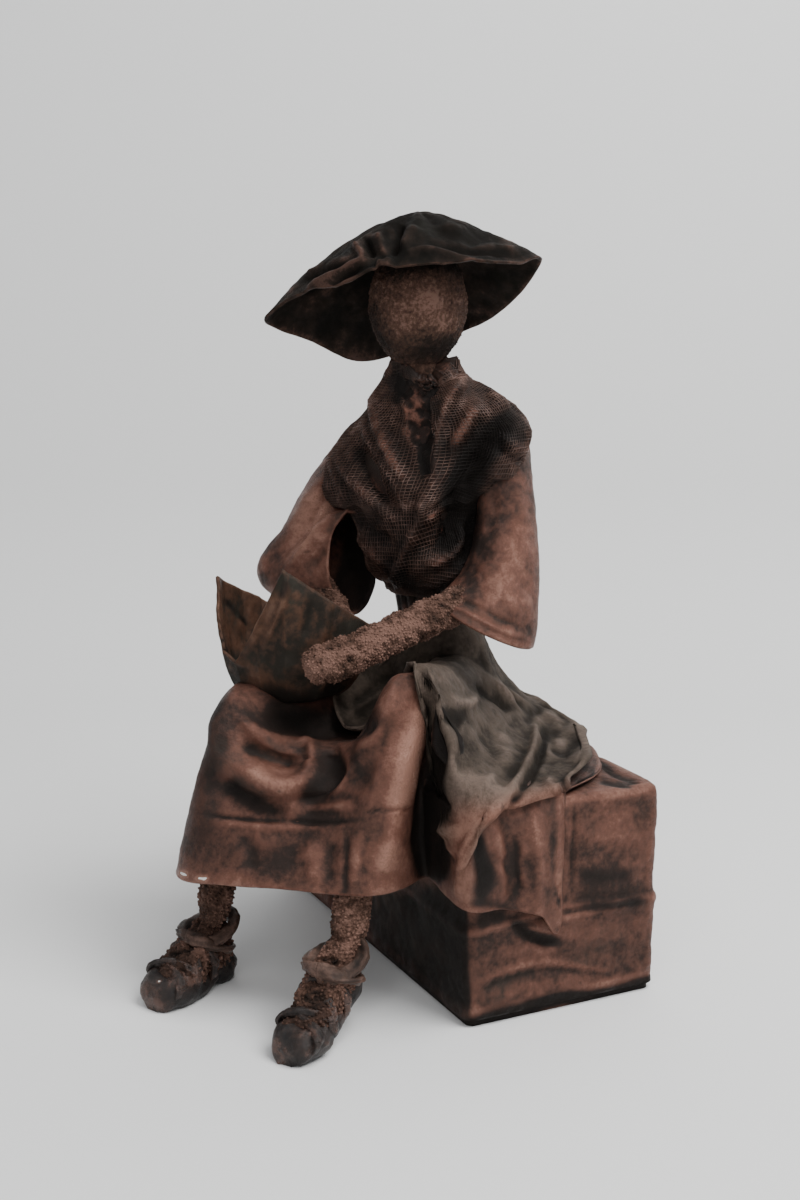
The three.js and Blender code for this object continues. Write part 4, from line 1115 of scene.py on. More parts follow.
# Small balls scattered over a form, as the crumbed coat of head, arms and legs.
# Apart and size are millimetres, and each ball is stretched by something between smallest and largest
crumbCoat = {
    "seed": 7, "spinSeed": 3, "growSeed": 5, "smallest": (0.55, 0.55, 0.5), "largest": (1.35, 1.35, 1.2),
    "head": {"apart": 1.8, "size": 0.62}, "arm": {"apart": 1.9, "size": 1.05},
    "leg": {"apart": 2.35, "size": 1.35},
}


def crumbTree():
    tree, source, keys = startTree("crumbCoat", ["Apart", "Density", "Size"])
    add, link = tree.nodes.new, tree.links.new
    spread = add("GeometryNodeDistributePointsOnFaces")
    spread.distribute_method = "POISSON"
    spread.inputs["Seed"].default_value = crumbCoat["seed"]
    ball = add("GeometryNodeMeshIcoSphere")
    ball.inputs["Subdivisions"].default_value = 1
    place = add("GeometryNodeInstanceOnPoints")
    spin, grow = add("FunctionNodeRandomValue"), add("FunctionNodeRandomValue")
    spin.data_type = "FLOAT_VECTOR"
    spin.inputs[1].default_value = (6.3, 6.3, 6.3)
    spin.inputs["Seed"].default_value = crumbCoat["spinSeed"]
    grow.data_type = "FLOAT_VECTOR"
    grow.inputs[0].default_value = crumbCoat["smallest"]
    grow.inputs[1].default_value = crumbCoat["largest"]
    grow.inputs["Seed"].default_value = crumbCoat["growSeed"]
    join = add("GeometryNodeJoinGeometry")
    link(source["Geometry"], spread.inputs["Mesh"])
    link(source["Apart"], spread.inputs["Distance Min"])
    link(source["Density"], spread.inputs["Density Max"])
    link(source["Size"], ball.inputs["Radius"])
    link(spread.outputs["Points"], place.inputs["Points"])
    link(ball.outputs["Mesh"], place.inputs["Instance"])
    link(spin.outputs["Value"], place.inputs["Rotation"])
    link(grow.outputs["Value"], place.inputs["Scale"])
    link(place.outputs["Instances"], join.inputs["Geometry"])
    link(source["Geometry"], join.inputs["Geometry"])
    endTree(tree, join.outputs["Geometry"], "crumb")
    return tree, keys


crumbs = crumbTree()


def crumbed(name, source, limb, tones, *stands):
    apart, size = crumbCoat[limb]["apart"], crumbCoat[limb]["size"]
    values = {"Apart": apart / 1000, "Density": 1.6e6 / apart**2, "Size": size / 1000}
    piece = grownPiece(name, source, *crumbs, values)
    toned(piece, tones)
    return finished(piece, "crumb", "crumb", *stands)


# Rings along a line of (x, y, z, radius), with round ends
def limbRings(stations, columns, rows):
    line = np.column_stack(alongTable(stations, np.linspace(0, len(stations) - 1, rows)))
    centre, radius = line[:, :3], line[:, 3]
    tangent = np.gradient(centre, axis=0)
    tangent /= np.linalg.norm(tangent, axis=1, keepdims=True)
    side = np.cross([0.2, 0.3, 1.0], tangent)
    side /= np.linalg.norm(side, axis=1, keepdims=True)
    up = np.cross(tangent, side)
    ends = np.minimum(np.arange(rows), np.arange(rows)[::-1]) / (rows - 1) * len(stations)
    tip = 0.55
    radius = radius * (tip + (1 - tip) * np.sqrt(np.clip(ends / 0.45, 0, 1)))
    turn = circle(columns)[None, :, None]
    out = side[:, None] * np.cos(turn) + up[:, None] * np.sin(turn)
    return centre[:, None] + out * radius[:, None, None]


head = {
    "centre": (-3.0, -40.0, 462.0), "width": 68.0, "height": 90.0, "depth": 1.04, "rows": 76, "columns": 124,
    "neck": ((-4, -37, 392, 13.4), (-3, -38, 402, 13.4), (-3, -39, 414, 14.4), (-3, -40, 430, 17)),
}
# Painted light on the middle of the face, painted shadow under the hat's brim, painted shade at the sides and
# under the chin
headPaintedLight = (
    (0.9, 26, 24, (420, 286), (430, 306), (434, 334)),
    (-1.0, 14, 14, (376, 276), (410, 258), (452, 260), (472, 284)),
    (-0.9, 12, 12, (478, 296), (474, 330), (460, 356)),
    (-0.8, 9, 9, (370, 296), (376, 330), (394, 354)),
    (-0.7, 13, 13, (384, 346), (410, 352), (440, 348), (460, 336)),
    (-0.3, 10, 10, (412, 372), (432, 372)),
)


def makeHead():
    a = np.linspace(-np.pi / 2 + 0.02, np.pi / 2 - 0.02, head["rows"])[:, None]
    turn = circle(head["columns"])
    x, y, z = head["centre"]
    taper = 1 - 0.1 * np.maximum(-np.sin(a), 0) ** 2
    r = head["width"] / 2 * np.cos(a) * taper
    level = z + head["height"] / 2 * np.sin(a) + 0 * turn
    egg = np.stack([x + r * np.cos(turn), y + r * head["depth"] * np.sin(turn), level], -1)
    whole = Solid()
    for part, seed in ((egg, 51), (limbRings(head["neck"], 56, 40), 52)):
        part = shaped(part, 1, lumps=0.7, lumpSize=16, fine=0.1, seed=seed)
        whole.loft(raised(part, np.maximum(softNoise(part, 2.2, seed + 7, 2), -0.2) * 0.9))
    crumbed("crumbHead", whole.build("headForm"), "head", headPaintedLight, "head")


makeHead()

arms = {
    "left": {
        "name": "crumbForearmLeft", "node": "forearm_left",
        "line": (
            (66, -57, 268, 11), (46, -84, 257, 12), (23, -116, 243, 12), (3, -144, 231, 13),
            (-14, -166, 226, 12),
        ),
    },
    "right": {
        "name": "crumbForearmRight", "node": "forearm_right",
        "line": ((-96, -68, 272, 10), (-72, -70, 262, 10.5), (-52, -78, 249, 10.5), (-38, -92, 240, 11)),
    },
}
# Painted highlight along the top of the forearm, painted shade below it
armPaintedLight = (
    (1.1, 11, 12, (290, 668), (300, 672), (330, 662), (370, 642), (410, 622), (425, 612)),
    (-0.6, 5, 5, (300, 702), (340, 692), (380, 670)),
)


def makeArms():
    for arm in arms.values():
        grid = limbRings(arm["line"], 44, 76)
        grid = shaped(grid, 1, lumps=1.6, lumpSize=8, fine=1.1, seed=61)
        crumbed(arm["name"], Solid().loft(grid).build("armForm"), "arm", armPaintedLight, arm["node"])


makeArms()


# The brim is direction in degrees, reach, height of its edge, and how late it bends down
hat = {
    "turn": 30.0, "crown": 526.0, "wall": 2.2, "thinnest": 0.8, "rows": 66, "columns": 350,
    "pleat": 2.2, "pleats": 7, "front": 230, "frontHalf": 80,
    "brim": (
        (0, 86, 495, 1.5), (18, 77, 472, 1.5), (45, 66, 449, 1.5), (90, 62, 432, 1.6), (130, 68, 421, 1.6),
        (160, 84, 437, 1.6), (180, 109, 453, 1.65), (200, 84, 472, 1.7), (238, 61, 485, 1.7),
        (270, 57, 491, 1.8), (305, 61, 491, 1.8), (340, 73, 492, 1.6),
    ),
}
hatFolds = (
    (4.6, 4, 4, (391, 265), (368, 276), (338, 290), (300, 310), (274, 317)),  # rolled front edge
    (-4.9, 3, 3, (366, 266), (342, 276), (318, 288), (297, 301)),
    (4.1, 4, 3, (372, 261), (350, 266), (322, 279), (306, 290)),
    (-3.8, 3, 3, (352, 262), (326, 273), (306, 281)),
    (3.5, 5, 4, (346, 254), (322, 268), (304, 276)),
    (4.6, 4, 4, (376, 266), (386, 266), (394, 260)),  # pinch
    (4.1, 4, 3, (365, 263), (361, 252), (354, 242)),
    (-4.6, 3, 4, (374, 260), (369, 248), (364, 236)),
    (4.1, 5, 4, (386, 258), (381, 244), (376, 232)),
    (-5.7, 4, 4, (393, 258), (398, 240), (402, 224)),
    (4.3, 6, 5, (402, 254), (410, 238), (418, 226)),
    (4.6, 4, 4, (404, 254), (428, 252), (458, 260), (492, 266), (524, 266), (540, 260)),
    (-3.8, 4, 3, (424, 246), (458, 250), (492, 250), (520, 256)),
    (3.0, 4, 4, (470, 243), (496, 246), (520, 252)),
    (-2.7, 5, 5, (430, 232), (462, 236), (494, 244)),
    (2.4, 8, 8, (440, 226), (470, 232)),
    (3.2, 3, 3, (496, 288), (516, 284), (534, 277)),
    (3.0, 3, 3, (358, 358), (368, 350), (382, 341)),
)
# Painted highlights along the rolled front edge and on the pinch, painted shade in two creases, darker on the
# crown
hatTones = (
    (-0.4, 16, 16, (370, 226), (400, 222), (440, 230), (500, 250)),
    (0.9, 6, 6, (296, 306), (330, 288), (364, 272)),
    (0.6, 5, 5, (352, 268), (372, 256), (392, 248)),
    (0.5, 5, 5, (404, 256), (458, 262), (520, 268)),
    (0.4, 10, 10, (340, 262), (362, 250)),
    (-0.6, 8, 8, (395, 262), (400, 240)),
    (-0.5, 8, 8, (300, 300), (325, 283)),
)


def makeHat():
    at = np.linspace(0, 360, hat["columns"], endpoint=False)
    reach, edge, bend = (curveThrough([(b[0], b[k]) for b in hat["brim"]], at, 360) for k in (1, 2, 3))
    shares = np.linspace(0.02, 1, hat["rows"])[:, None] ** 0.9
    angle = np.radians(at + hat["turn"])
    x, y, z = head["centre"]
    front = np.where(np.abs(at - hat["front"]) < hat["frontHalf"], 1, 0.3)
    front = np.convolve(np.concatenate([front[-12:], front, front[:12]]), np.ones(25) / 25, "valid")
    pleat = hat["pleat"] * np.sin(np.radians(at) * hat["pleats"]) * np.sin(np.pi * shares) * front
    level = hat["crown"] - (hat["crown"] - edge) * shares**bend + pleat
    outer = np.stack([x + reach * shares * np.cos(angle), y + reach * shares * np.sin(angle), level], -1)
    outer = shaped(outer, -1, hatFolds, lumps=1.8, lumpSize=24, fine=0.2, seed=71)
    inner = outer - gridNormals(outer, True, -1) * hat["wall"]
    # the lining stays over the head
    halfWidth, skull = head["width"] / 2, head["height"] / 2 + clearance["hat"]
    away = np.hypot(inner[..., 0] - x, (inner[..., 1] - y) / head["depth"])
    dome = z + skull * np.sqrt(np.clip(1 - (away / (halfWidth + clearance["hat"])) ** 2, 0, 1))
    inner[..., 2] = np.where(away < halfWidth, np.maximum(inner[..., 2], dome), inner[..., 2])
    inner[..., 2] = np.minimum(inner[..., 2], outer[..., 2] - hat["thinnest"])
    lip = (outer[-1] + inner[-1]) / 2
    away = lip - lip.mean(0)
    lip = lip + away / np.linalg.norm(away, axis=1, keepdims=True) * 0.9
    piece = Solid().loft(np.concatenate([outer, [lip], inner[::-2]])).build("clothHat", hatTones)
    finished(piece, "hat_cloth", "hatCloth", "hat")


makeHat()


# Each ring of a sleeve is its centre and two half axes
sleeveForm = {"rows": 116, "columns": 150, "open": 2.5, "wall": 2.2}
sleeves = {
    "left": {
        "name": "clothSleeveLeft", "node": "sleeve_left", "seed": 81,
        "rings": (
            ((48, -16, 391), (8, 4, -3), (5, -9, 0)), ((53, -17, 380), (14, 8, -6), (9, -15, 0)),
            ((59, -22, 352), (15, 10, -3), (10, -17, 0)), ((63, -29, 324), (17, 11, 0), (11, -18, 0)),
            ((68, -38, 297), (20, 13, 0), (12, -20, 0)), ((69, -49, 272), (24, 16, -6), (13, -22, -2)),
            ((65, -61, 247), (28, 20, -17), (14, -23, -3)),
        ),
        "folds": (
            (-1.8, 9, 9, (496, 480), (490, 520), (476, 560), (456, 588)),
            (1.8, 12, 10, (516, 480), (522, 520), (514, 560), (490, 594)),
            (1.2, 2.4, 2, (440, 603), (470, 614), (500, 630), (534, 640)),
            (-1.0, 3, 3, (444, 596), (474, 606), (504, 622), (536, 630)),
            (-1.6, 8, 8, (506, 560), (522, 580), (532, 600)),
            (1.4, 7, 7, (488, 575), (506, 596), (520, 618)),
        ),
    },
    "right": {
        "name": "clothSleeveRight", "node": "sleeve_right", "seed": 87,
        "rings": (
            ((-58, -24, 373), (-7, -3, -5), (4, -9, 0)), ((-68, -28, 361), (-14, -6, -7), (7, -15, 0)),
            ((-83, -39, 333), (-16, -8, -8), (8, -18, -3)), ((-87, -50, 309), (-22, -9, -12), (8, -21, -4)),
            ((-91, -60, 288), (-31, -12, -23), (8, -25, -3)),
            ((-70, -64, 278), (-10, -5, -37), (-8, -27, -2)), ((-44, -63, 279), (2, -2, -38), (-11, -16, 0)),
        ),
        "folds": (
            (-2.6, 5, 5, (332, 468), (322, 500), (300, 535), (268, 566)),
            (2.6, 7, 6, (316, 484), (298, 516), (272, 550), (252, 575)),
            (3.0, 5, 4, (350, 498), (345, 530), (334, 565), (322, 590)),
            (-2.0, 5, 5, (338, 500), (328, 540), (308, 580)),
            (1.6, 5, 5, (284, 530), (268, 556), (262, 578)),
        ),
    },
}
# Painted highlights on the lit panels of both sleeves, painted shade inside the right cuff and in the creases
sleevePaintedLight = (
    (1.4, 22, 18, (322, 476), (304, 530), (286, 566)),
    (0.6, 8, 8, (326, 540), (316, 580)),
    (-1.3, 14, 14, (360, 505), (358, 540), (354, 580)),
    (-1.5, 16, 18, (372, 530), (374, 575), (366, 630)),
    (0.8, 18, 18, (522, 500), (514, 560), (488, 606)),
    (-0.7, 9, 9, (476, 500), (474, 560)),
    (-0.6, 6, 6, (258, 556), (280, 520)),
    (-0.5, 8, 8, (262, 570), (268, 590)),
    (-0.4, 8, 8, (532, 480), (538, 540)),
)


def sleeveRings(rings, at):
    lines = alongTable(np.reshape(rings, (len(rings), 9)), at)
    centre, across, along = (np.stack(lines[k : k + 3], -1)[:, None] for k in (0, 3, 6))
    turn = circle(sleeveForm["columns"])[None, :, None]
    return centre + across * np.cos(turn) + along * np.sin(turn)


def makeSleeves():
    for sleeve in sleeves.values():
        end = len(sleeve["rings"]) - 1
        at = np.linspace(0, end, sleeveForm["rows"])
        outer = sleeveRings(sleeve["rings"], at)
        sign = outwardOf(outer)
        outer = shaped(outer, sign, sleeve["folds"], lumps=1.0, lumpSize=20, fine=0.14, seed=sleeve["seed"])
        hollow = np.where(at >= end - sleeveForm["open"])[0][::-1][::2]
        inner = (outer - gridNormals(outer, True, sign) * sleeveForm["wall"])[hollow]
        out = outer[-1] - outer[-3]
        out = out / np.maximum(np.linalg.norm(out, axis=1, keepdims=True), 1e-6)
        lip = (outer[-1] + inner[0]) / 2 + out * 0.7
        piece = Solid().loft(np.concatenate([outer, [lip], inner])).build(sleeve["name"], sleevePaintedLight)
        finished(piece, "bronze_cloth", "sleeveCloth", sleeve["node"])


makeSleeves()


# The rim is direction in degrees, reach and height. Levels are shares of reach and height
bowl = {
    "centre": (-55.0, -128.0, 192.0), "wall": 2.4, "rows": 64, "between": 20,
    "rim": (
        (-140, 50, 279), (-133, 50, 250), (-127, 48, 229), (-113, 43, 222), (-88, 42, 248), (-58, 46, 291),
        (-15, 50, 266), (30, 59, 243), (75, 44, 226), (115, 46, 234), (150, 50, 254), (170, 50, 262),
        (195, 52, 273),
    ),
    "levels": ((0.42, 0), (0.62, 0.05), (0.78, 0.22), (0.88, 0.45), (0.95, 0.72), (1, 1)),
    "folds": (
        (2.0, 3, 3, (288, 572), (284, 600), (262, 650)),
        (-2.0, 5, 6, (268, 600), (258, 640), (254, 668)),
        (1.8, 4, 4, (330, 600), (322, 640), (300, 672)),
        (-1.8, 5, 5, (312, 596), (304, 640)),
        (1.4, 3, 3, (222, 640), (232, 656), (246, 668)),
    ),
}
# Painted highlight along the rim and a fold, painted shade under the bowl and in its creases
bowlPaintedLight = (
    (0.6, 3, 3, (284, 576), (270, 610), (254, 640), (240, 664)),
    (-0.8, 10, 10, (288, 576), (276, 600)),
    (-0.7, 14, 14, (250, 690), (290, 700), (330, 700)),
    (-0.8, 9, 9, (330, 590), (360, 612)),
    (0.5, 12, 12, (300, 630), (290, 660)),
    (-0.9, 2.5, 2.5, (222, 596), (236, 612), (250, 628)),
    (0.4, 8, 8, (228, 610), (232, 640)),
)


def makeBowl():
    x, y, z = bowl["centre"]
    lines = alongTable(bowl["levels"], np.linspace(0, len(bowl["levels"]) - 1, bowl["rows"]))
    spread, rise = (line[:, None] for line in lines)
    corners = [
        np.array([reach * math.cos(math.radians(angle)), reach * math.sin(math.radians(angle)), top])
        for angle, reach, top in bowl["rim"]
    ]
    rim = []
    for low, high in zip(corners, corners[1:] + corners[:1]):
        for t in np.linspace(0, 1, bowl["between"], endpoint=False):
            rim.append(low * (1 - t) + high * t)
    rim = np.array(rim)
    grid = np.stack([x + rim[:, 0] * spread, y + rim[:, 1] * spread, z + (rim[:, 2] - z) * rise], -1)
    grid = shaped(grid, 1, bowl["folds"], lumps=0.9, lumpSize=18, fine=0.14, seed=91)
    inner = grid - gridNormals(grid) * bowl["wall"]
    lip = (grid[-1] + inner[-1]) / 2 + np.array([0, 0, 0.7])
    piece = Solid().loft(np.concatenate([grid, [lip], inner[::-1]])).build("clothBowl", bowlPaintedLight)
    finished(piece, "bronze_cloth", "bowlCloth", "cloth_bowl")


makeBowl()


# Strips: share of the shoe's length, skew, low and high side, half width, breadth of the strip.
# Straps: share, level, two half widths, tilt, breadth. Instep: share, half width, low and high side
foot = {
    "shoeLength": 74.0, "shoeWidth": 37.0, "shoeHeight": 25.0, "stripThick": 2.2, "strapThick": 2.6,
    "strips": (
        (0.80, 5, 6, 24, 17.4, 3.6), (0.70, -6, 5, 27, 17.4, 3.2), (0.56, 7, 4, 31, 16.4, 3.6),
        (0.44, -5, 4, 36, 15, 3.2),
    ),
    "straps": ((0.25, 41, 17.5, 16, -6, 5.6), (0.30, 32, 17, 16.5, 9, 4.6)),
    "instep": (
        (0.1, 10, 10, 44), (0.28, 13, 10, 46), (0.48, 15, 9, 37), (0.66, 16, 9, 30), (0.78, 13, 10, 26),
        (0.84, 9, 10, 23),
    ),
}
# Painted shade and painted highlights on the shoes, and one bare white chip
shoeLightAndChip = (
    (-0.6, 8, 8, (150, 990), (185, 1002), (220, 980)),
    (0.8, 5, 5, (182, 976), (196, 984)),
    (3.4, 2, 2, (158, 981), (161, 983)),
    (0.8, 7, 7, (290, 1038), (306, 1030), (318, 1036)),
    (-0.7, 8, 8, (284, 1056), (306, 1066), (330, 1050)),
)
feet = {
    "right": {
        "shin": ((-70, -172, 160, 12.4), (-68, -190, 105, 12), (-67, -205, 45, 11.6)),
        "toe": (-78, -258), "aim": -96, "lift": 0.0,
    },
    "left": {
        "shin": ((42, -162, 160, 12.4), (41, -186, 105, 12), (45, -208, 50, 11.6)),
        "toe": (45, -274), "aim": -90, "lift": 20.0,
    },
}


def footAxes(side):
    aim = math.radians(side["aim"])
    forward = np.array([math.cos(aim), math.sin(aim), 0])
    return np.array([*side["toe"], 0.0]), forward, np.array([-forward[1], forward[0], 0])


def footRings(side, stations, rows, columns):
    base, forward, across = footAxes(side)
    first, *others = np.array(stations).T
    share = np.linspace(first[0], first[-1], rows)
    half, low, high = (curveThrough(np.column_stack([first, line]), share)[:, None] for line in others)
    c, s = np.cos(circle(columns)), np.sin(circle(columns))
    wide = half * np.sign(c) * np.abs(c) ** 0.7
    along = (foot["shoeLength"] * (share - 1))[:, None]
    grid = base + forward * along[..., None] + across * wide[..., None]
    heel = side["lift"] * np.maximum(1 - share / 0.75, 0)[:, None]
    grid[..., 2] = np.clip((low + high) / 2 + (high - low) / 2 * 1.18 * s, low, high) + heel
    return grid


# Strips of cloth laid round the ankle and instep, closed on themselves, with grooves along them
def bandRings(line, wide, thick, up, columns):
    tangent = np.roll(line, -1, 0) - np.roll(line, 1, 0)
    tangent /= np.linalg.norm(tangent, axis=1, keepdims=True)
    side = np.cross(tangent, up)
    side /= np.linalg.norm(side, axis=1, keepdims=True)
    rise = np.cross(side, tangent)
    turn = circle(columns)[None, :, None]
    roll = circle(len(line))[:, None, None]
    a = side[:, None] * np.cos(roll) + rise[:, None] * np.sin(roll)
    b = -side[:, None] * np.sin(roll) + rise[:, None] * np.cos(roll)
    grooves = 1 + 0.16 * np.sin(turn * 5)
    grid = line[:, None] + (a * np.cos(turn) * thick + b * np.sin(turn) * wide) * grooves
    return np.concatenate([grid, grid[:1]])


def shoeStations():
    half, high = foot["shoeWidth"] / 2, foot["shoeHeight"]
    shares = (
        (0, 0.35, 0.7), (0.06, 0.55, 0.95), (0.25, 0.64, 0.8), (0.48, 0.8, 0.66), (0.68, 1, 0.9),
        (0.85, 0.96, 0.86), (0.96, 0.72, 0.6), (1, 0.4, 0.4),
    )
    return [(share, half * w, 0, high * h) for share, w, h in shares]


def makeShoe(key, side):
    grid = footRings(side, shoeStations(), 64, 64)
    grid = shaped(grid, outwardOf(grid), lumps=1.6, lumpSize=13, fine=0.25, seed=101)
    grid[..., 2] = np.maximum(grid[..., 2], 0)
    whole = Solid().loft(grid)
    base, forward, across = footAxes(side)
    turn = circle(90)
    for share, skew, low, high, half, wide in foot["strips"]:
        middle = base + forward * foot["shoeLength"] * (share - 1)
        line = middle + across * (half * np.cos(turn))[:, None]
        line = line + forward * (skew * np.cos(turn + 0.5))[:, None]
        over = (0.5 + 0.5 * np.sin(turn)) ** 0.8
        line[:, 2] = low + (high - low) * over + side["lift"] * max(0.75 - share, 0)
        strip = bandRings(line, wide, foot["stripThick"], forward, 18)
        strip = shaped(strip, outwardOf(strip), lumps=0.7, lumpSize=6, fine=0.3, seed=103)
        strip[..., 2] = np.maximum(strip[..., 2], 0.2)
        whole.loft(strip)
    finished(whole.build("clothShoe" + key.title(), shoeLightAndChip), "shoe_cloth", "shoeCloth", "shoe_" + key)


# Painted shade down the shins and over the insteps, and a painted highlight on the left shin
legPaintedLight = (
    (-0.6, 22, 22, (205, 890), (210, 930), (205, 950)),
    (-0.5, 8, 8, (330, 900), (326, 950)),
    (0.3, 12, 12, (352, 910), (348, 950)),
    (-0.8, 26, 26, (124, 985), (160, 968), (205, 970)),
    (-0.6, 26, 26, (270, 1020), (305, 1022), (345, 1000)),
)


def makeLeg(key, side):
    shin = shaped(limbRings(side["shin"], 44, 70), 1, lumps=1.0, lumpSize=8, fine=0.9, seed=111)
    top = footRings(side, foot["instep"], 48, 40)
    top = shaped(top, outwardOf(top), lumps=2.2, lumpSize=7, fine=1.0, seed=113)
    whole = Solid().loft(shin).loft(top)
    crumbed("crumbLeg" + key.title(), whole.build("legForm"), "leg", legPaintedLight, "leg_" + key)


def makeStrap(key, side):
    base, forward, across = footAxes(side)
    whole = Solid()
    turn = circle(120)
    for share, level, reachA, reachB, tilt, wide in foot["straps"]:
        middle = base + forward * foot["shoeLength"] * (share - 1)
        middle[2] += level + side["lift"] * 0.5
        line = middle + forward * (reachA * np.cos(turn))[:, None] + across * (reachB * np.sin(turn))[:, None]
        line[:, 2] += tilt * np.cos(turn)
        grid = bandRings(line, wide, foot["strapThick"], (0.0, 0.0, 1.0), 20)
        whole.loft(shaped(grid, outwardOf(grid), lumps=0.6, lumpSize=7, fine=0.2, seed=121))
    finished(whole.build("clothStrap" + key.title()), "bronze_cloth", "strapCloth", "ankle_wrap_" + key)


for key, side in feet.items():
    makeShoe(key, side)
    makeLeg(key, side)
    makeStrap(key, side)


# The block is cloth wrapped round a form, over a bare dark foot. Its columns are finer on the end in sight
block = {"around": 420, "fine": 150, "end": 166.0, "topRows": 24, "footIn": 1.5}
blockFolds = (
    (1.3, 3, 2, (470, 936), (500, 926), (560, 908), (620, 900), (658, 894)),
    (-1.1, 2, 3, (470, 942), (500, 932), (560, 914), (620, 906), (656, 900)),
    (1.2, 3, 3, (472, 986), (500, 972), (545, 962), (590, 968), (640, 975)),
    (-1.0, 3, 3, (476, 994), (505, 980), (550, 970), (600, 976)),
    (-3.0, 6, 5, (512, 918), (526, 934), (544, 942), (562, 942)),
    (1.6, 3, 3, (524, 926), (545, 930), (566, 934)),
    (0.7, 5, 5, (574, 836), (604, 838), (634, 834)),
    (-1.4, 3, 3, (576, 800), (574, 840), (572, 890)),
    (1.2, 5, 5, (590, 800), (620, 796), (650, 792)),
    (2.2, 4, 4, (600, 756), (624, 768), (650, 782)),  # puckers on top
    (-2.4, 3, 3, (598, 764), (620, 776), (640, 784)),
    (-2.4, 3, 3, (594, 778), (615, 783), (636, 787)),
)
# Painted shade on the long side, in the fold under the apron and in creases, painted highlights on ridges,
# and real dark patches, mottles and the dark foot
blockShadeAndStains = (
    (-0.6, 8, 8, (570, 872), (604, 876), (640, 872)),
    (-0.9, 9, 9, (508, 912), (524, 932), (544, 942), (568, 944)),
    # painted shade on the long side, which lies in shadow
    (-1.1, 4, 120, (462, 870), (464, 950), (468, 1036)),
    (-1.6, 5, 5, (330, 920), (400, 978), (469, 1034)),
    # the bare foot
    (-2.2, 7, 6, (420, 1040), (471, 1026), (520, 1013), (556, 999), (604, 996), (656, 981), (700, 970)),
    (-0.4, 9, 9, (476, 1012), (545, 998)),
    (-0.5, 6, 6, (490, 986), (530, 976), (570, 980)),
    (-0.4, 5, 5, (570, 908), (620, 904), (660, 900)),
    (-0.5, 12, 12, (476, 912), (510, 916)),
    (0.5, 20, 20, (590, 830), (640, 812)),
    (0.2, 18, 18, (490, 955), (570, 958)),
    (-0.35, 26, 26, (486, 900), (480, 960), (486, 1020)),
    (-0.5, 22, 22, (570, 880), (610, 900), (650, 890)),
    (-0.4, 16, 16, (540, 965), (600, 950), (640, 955)),
    (-0.3, 8, 8, (580, 975), (640, 968)),
    (-0.9, 4, 4, (594, 760), (614, 772)),
    (0.5, 5, 5, (520, 942), (540, 948), (560, 950)),
    # painted shade in the fold under the apron
    (-2.6, 18, 18, (440, 690), (446, 760), (448, 840)),
)


def blockRings():
    ridge, height, base = blockSize["ridge"], blockSize["height"], blockSize["foot"]
    profile = (
        (0, 1.2), (19, 0.6), (40, 1.0), (ridge - 12, 1.0), (ridge - 5, 0.2), (ridge - 1, -1.0),
        (ridge + 2, -0.6), (ridge + 6, 1.0), (100, 0.7), (height - 12, 0.8), (height - 3, 2), (height, 5.5),
    )
    levels = np.concatenate([np.linspace(base, 130, 64), np.linspace(131.5, height, 18)])
    insets = curveThrough(profile, levels)
    corner = blockSize["corner"]
    halfX, halfY = blockSize["length"] / 2, blockSize["width"] / 2
    outline = []
    for sx, sy, start in ((1, -1, -90), (1, 1, 0), (-1, 1, 90), (-1, -1, 180)):
        for a in np.radians(start + np.linspace(0, 90, 14)):
            outline.append((sx * (halfX - corner), sy * (halfY - corner), math.cos(a), math.sin(a)))
    outline = np.array(outline)
    edge = outline[:, :2] + outline[:, 2:] * corner
    length = np.concatenate([[0], np.cumsum(np.linalg.norm(np.roll(edge, -1, 0) - edge, axis=1))])
    spots = (0, block["fine"], block["around"])
    at = np.interp(np.arange(block["around"]), spots, (0, block["end"], length[-1]))
    closed = np.vstack([outline, outline[:1]])
    x, y, outX, outY = (np.interp(at, length, closed[:, k]) for k in range(4))
    size = np.hypot(outX, outY)
    outX, outY = outX / size, outY / size

    def ring(inset, level):
        out = corner - inset
        return np.stack([x + outX * out, y + outY * out, np.full(len(x), level)], -1)

    rings = [ring(block["footIn"] + 2.5, base), ring(block["footIn"], base)]
    rings += [ring(inset, level) for inset, level in zip(insets, levels)]
    for share in np.linspace(0, 1, block["topRows"])[1:-1]:
        rings.append(ring(insets[-1], height) * [1 - share, 1 - share, 1])
    return np.array(rings)


def makeBlock():
    rings = blockRings()
    base, level = blockSize["foot"], rings[..., 2]
    keep = ease(level, base, base + 4) * ease(np.hypot(rings[..., 0], rings[..., 1]), 8, 30)
    grid = shaped(offTurn(rings), 1, blockFolds, lumps=1.3, lumpSize=26, fine=0.3, seed=131, keep=keep)
    torn = ease(level, 26, 8) * ease(level, base - 0.1, base + 2)
    grid = raised(grid, softNoise(grid, 10, 133, 2) * 1.8 * torn)
    grid[..., 2] = np.minimum(grid[..., 2], blockSize["height"] + 0.2)
    low, high = rings[0].copy(), rings[0].copy()
    low[:, 2], high[:, 2] = 0, base + 0.5
    whole = Solid().loft(grid).loft(offTurn(np.array([low, high])))
    finished(whole.build("clothBlock", blockShadeAndStains), "block_cloth", "blockCloth", "seat_block")


makeBlock()


# One colour, clear from behind
def plainMaterial(name, colour, rough):
    finish = Finish(name)
    finish.shade(Base_Color=(*colour, 1), Roughness=rough, Specular_IOR_Level=0.2)
    clear = finish.node("ShaderNodeBsdfTransparent")
    back = finish.node("ShaderNodeNewGeometry", out="Backfacing")
    front = Value(finish, finish.shader.outputs[0])
    both = finish.node("ShaderNodeMixShader", None, {0: back, 1: front, 2: clear})
    finish.tree.links.new(both.socket, finish.tree.nodes["Material Output"].inputs["Surface"])
    return finish.material


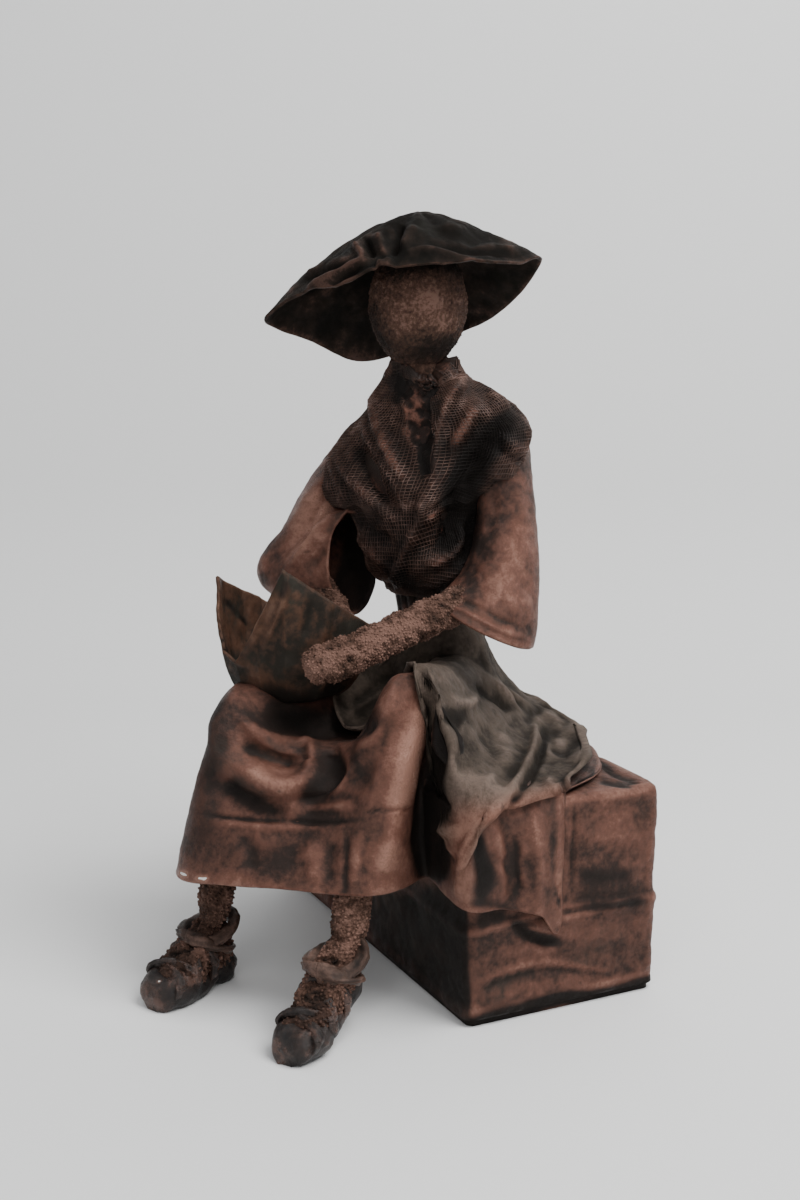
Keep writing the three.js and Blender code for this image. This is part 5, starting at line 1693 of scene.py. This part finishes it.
# Metres and watts
room = {
    "front": -3.0, "behind": 0.86, "cove": 0.22, "height": 3.2, "half": 4.0, "below": 0.0002,
    "colour": (0.80, 0.80, 0.79), "air": (0.93, 0.95, 1, 1), "strength": 0.42, "aim": (0, 0, 0.25),
}
lights = {
    "softTop": {"place": (0.9, 0.55, 1.9), "size": 1.3, "power": 58},
    "softFront": {"place": (1.7, -1.2, 1.5), "size": 1.5, "power": 17},
}


def makeRoom():
    look = np.array(photoCamera["look"])
    side = np.array([-look[1], look[0]])
    cove = room["cove"]
    outline = [(room["front"], 0.0), (room["behind"] - cove, 0.0)]
    for a in np.linspace(0, math.pi / 2, 14)[1:]:
        outline.append((room["behind"] - cove + cove * math.sin(a), cove * (1 - math.cos(a))))
    outline.append((room["behind"], room["height"]))
    points, faces = [], []
    for k, (ahead, up) in enumerate(outline):
        for across in (-room["half"], room["half"]):
            x, y = look * ahead + side * across
            points.append((x, y, up - room["below"]))
        if k:
            faces.append((2 * k - 2, 2 * k - 1, 2 * k + 1, 2 * k))
    mesh = bpy.data.meshes.new("studioFloor")
    mesh.from_pydata(points, [], faces)
    for polygon in mesh.polygons:
        polygon.use_smooth = True
    if mesh.polygons[0].normal.z < 0:
        mesh.flip_normals()
    mesh.materials.append(plainMaterial("studioPale", room["colour"], 0.9))
    linked("studioFloor", mesh)


def makeLights():
    for name, light in lights.items():
        lamp = bpy.data.lights.new(name, "AREA")
        lamp.size, lamp.energy = light["size"], light["power"]
        placed = linked(name, lamp)
        placed.location = light["place"]
        placed.rotation_mode = "QUATERNION"
        aim = Vector(room["aim"]) - Vector(light["place"])
        placed.rotation_quaternion = aim.to_track_quat("-Z", "Y")


def makeWorld():
    world = bpy.data.worlds.new("studioAir")
    world.use_nodes = True
    background = world.node_tree.nodes["Background"]
    background.inputs["Color"].default_value = room["air"]
    background.inputs["Strength"].default_value = room["strength"]
    bpy.context.scene.world = world


makeRoom()
makeWorld()
makeLights()
print("room: floor, air and", len(lights), "lights")
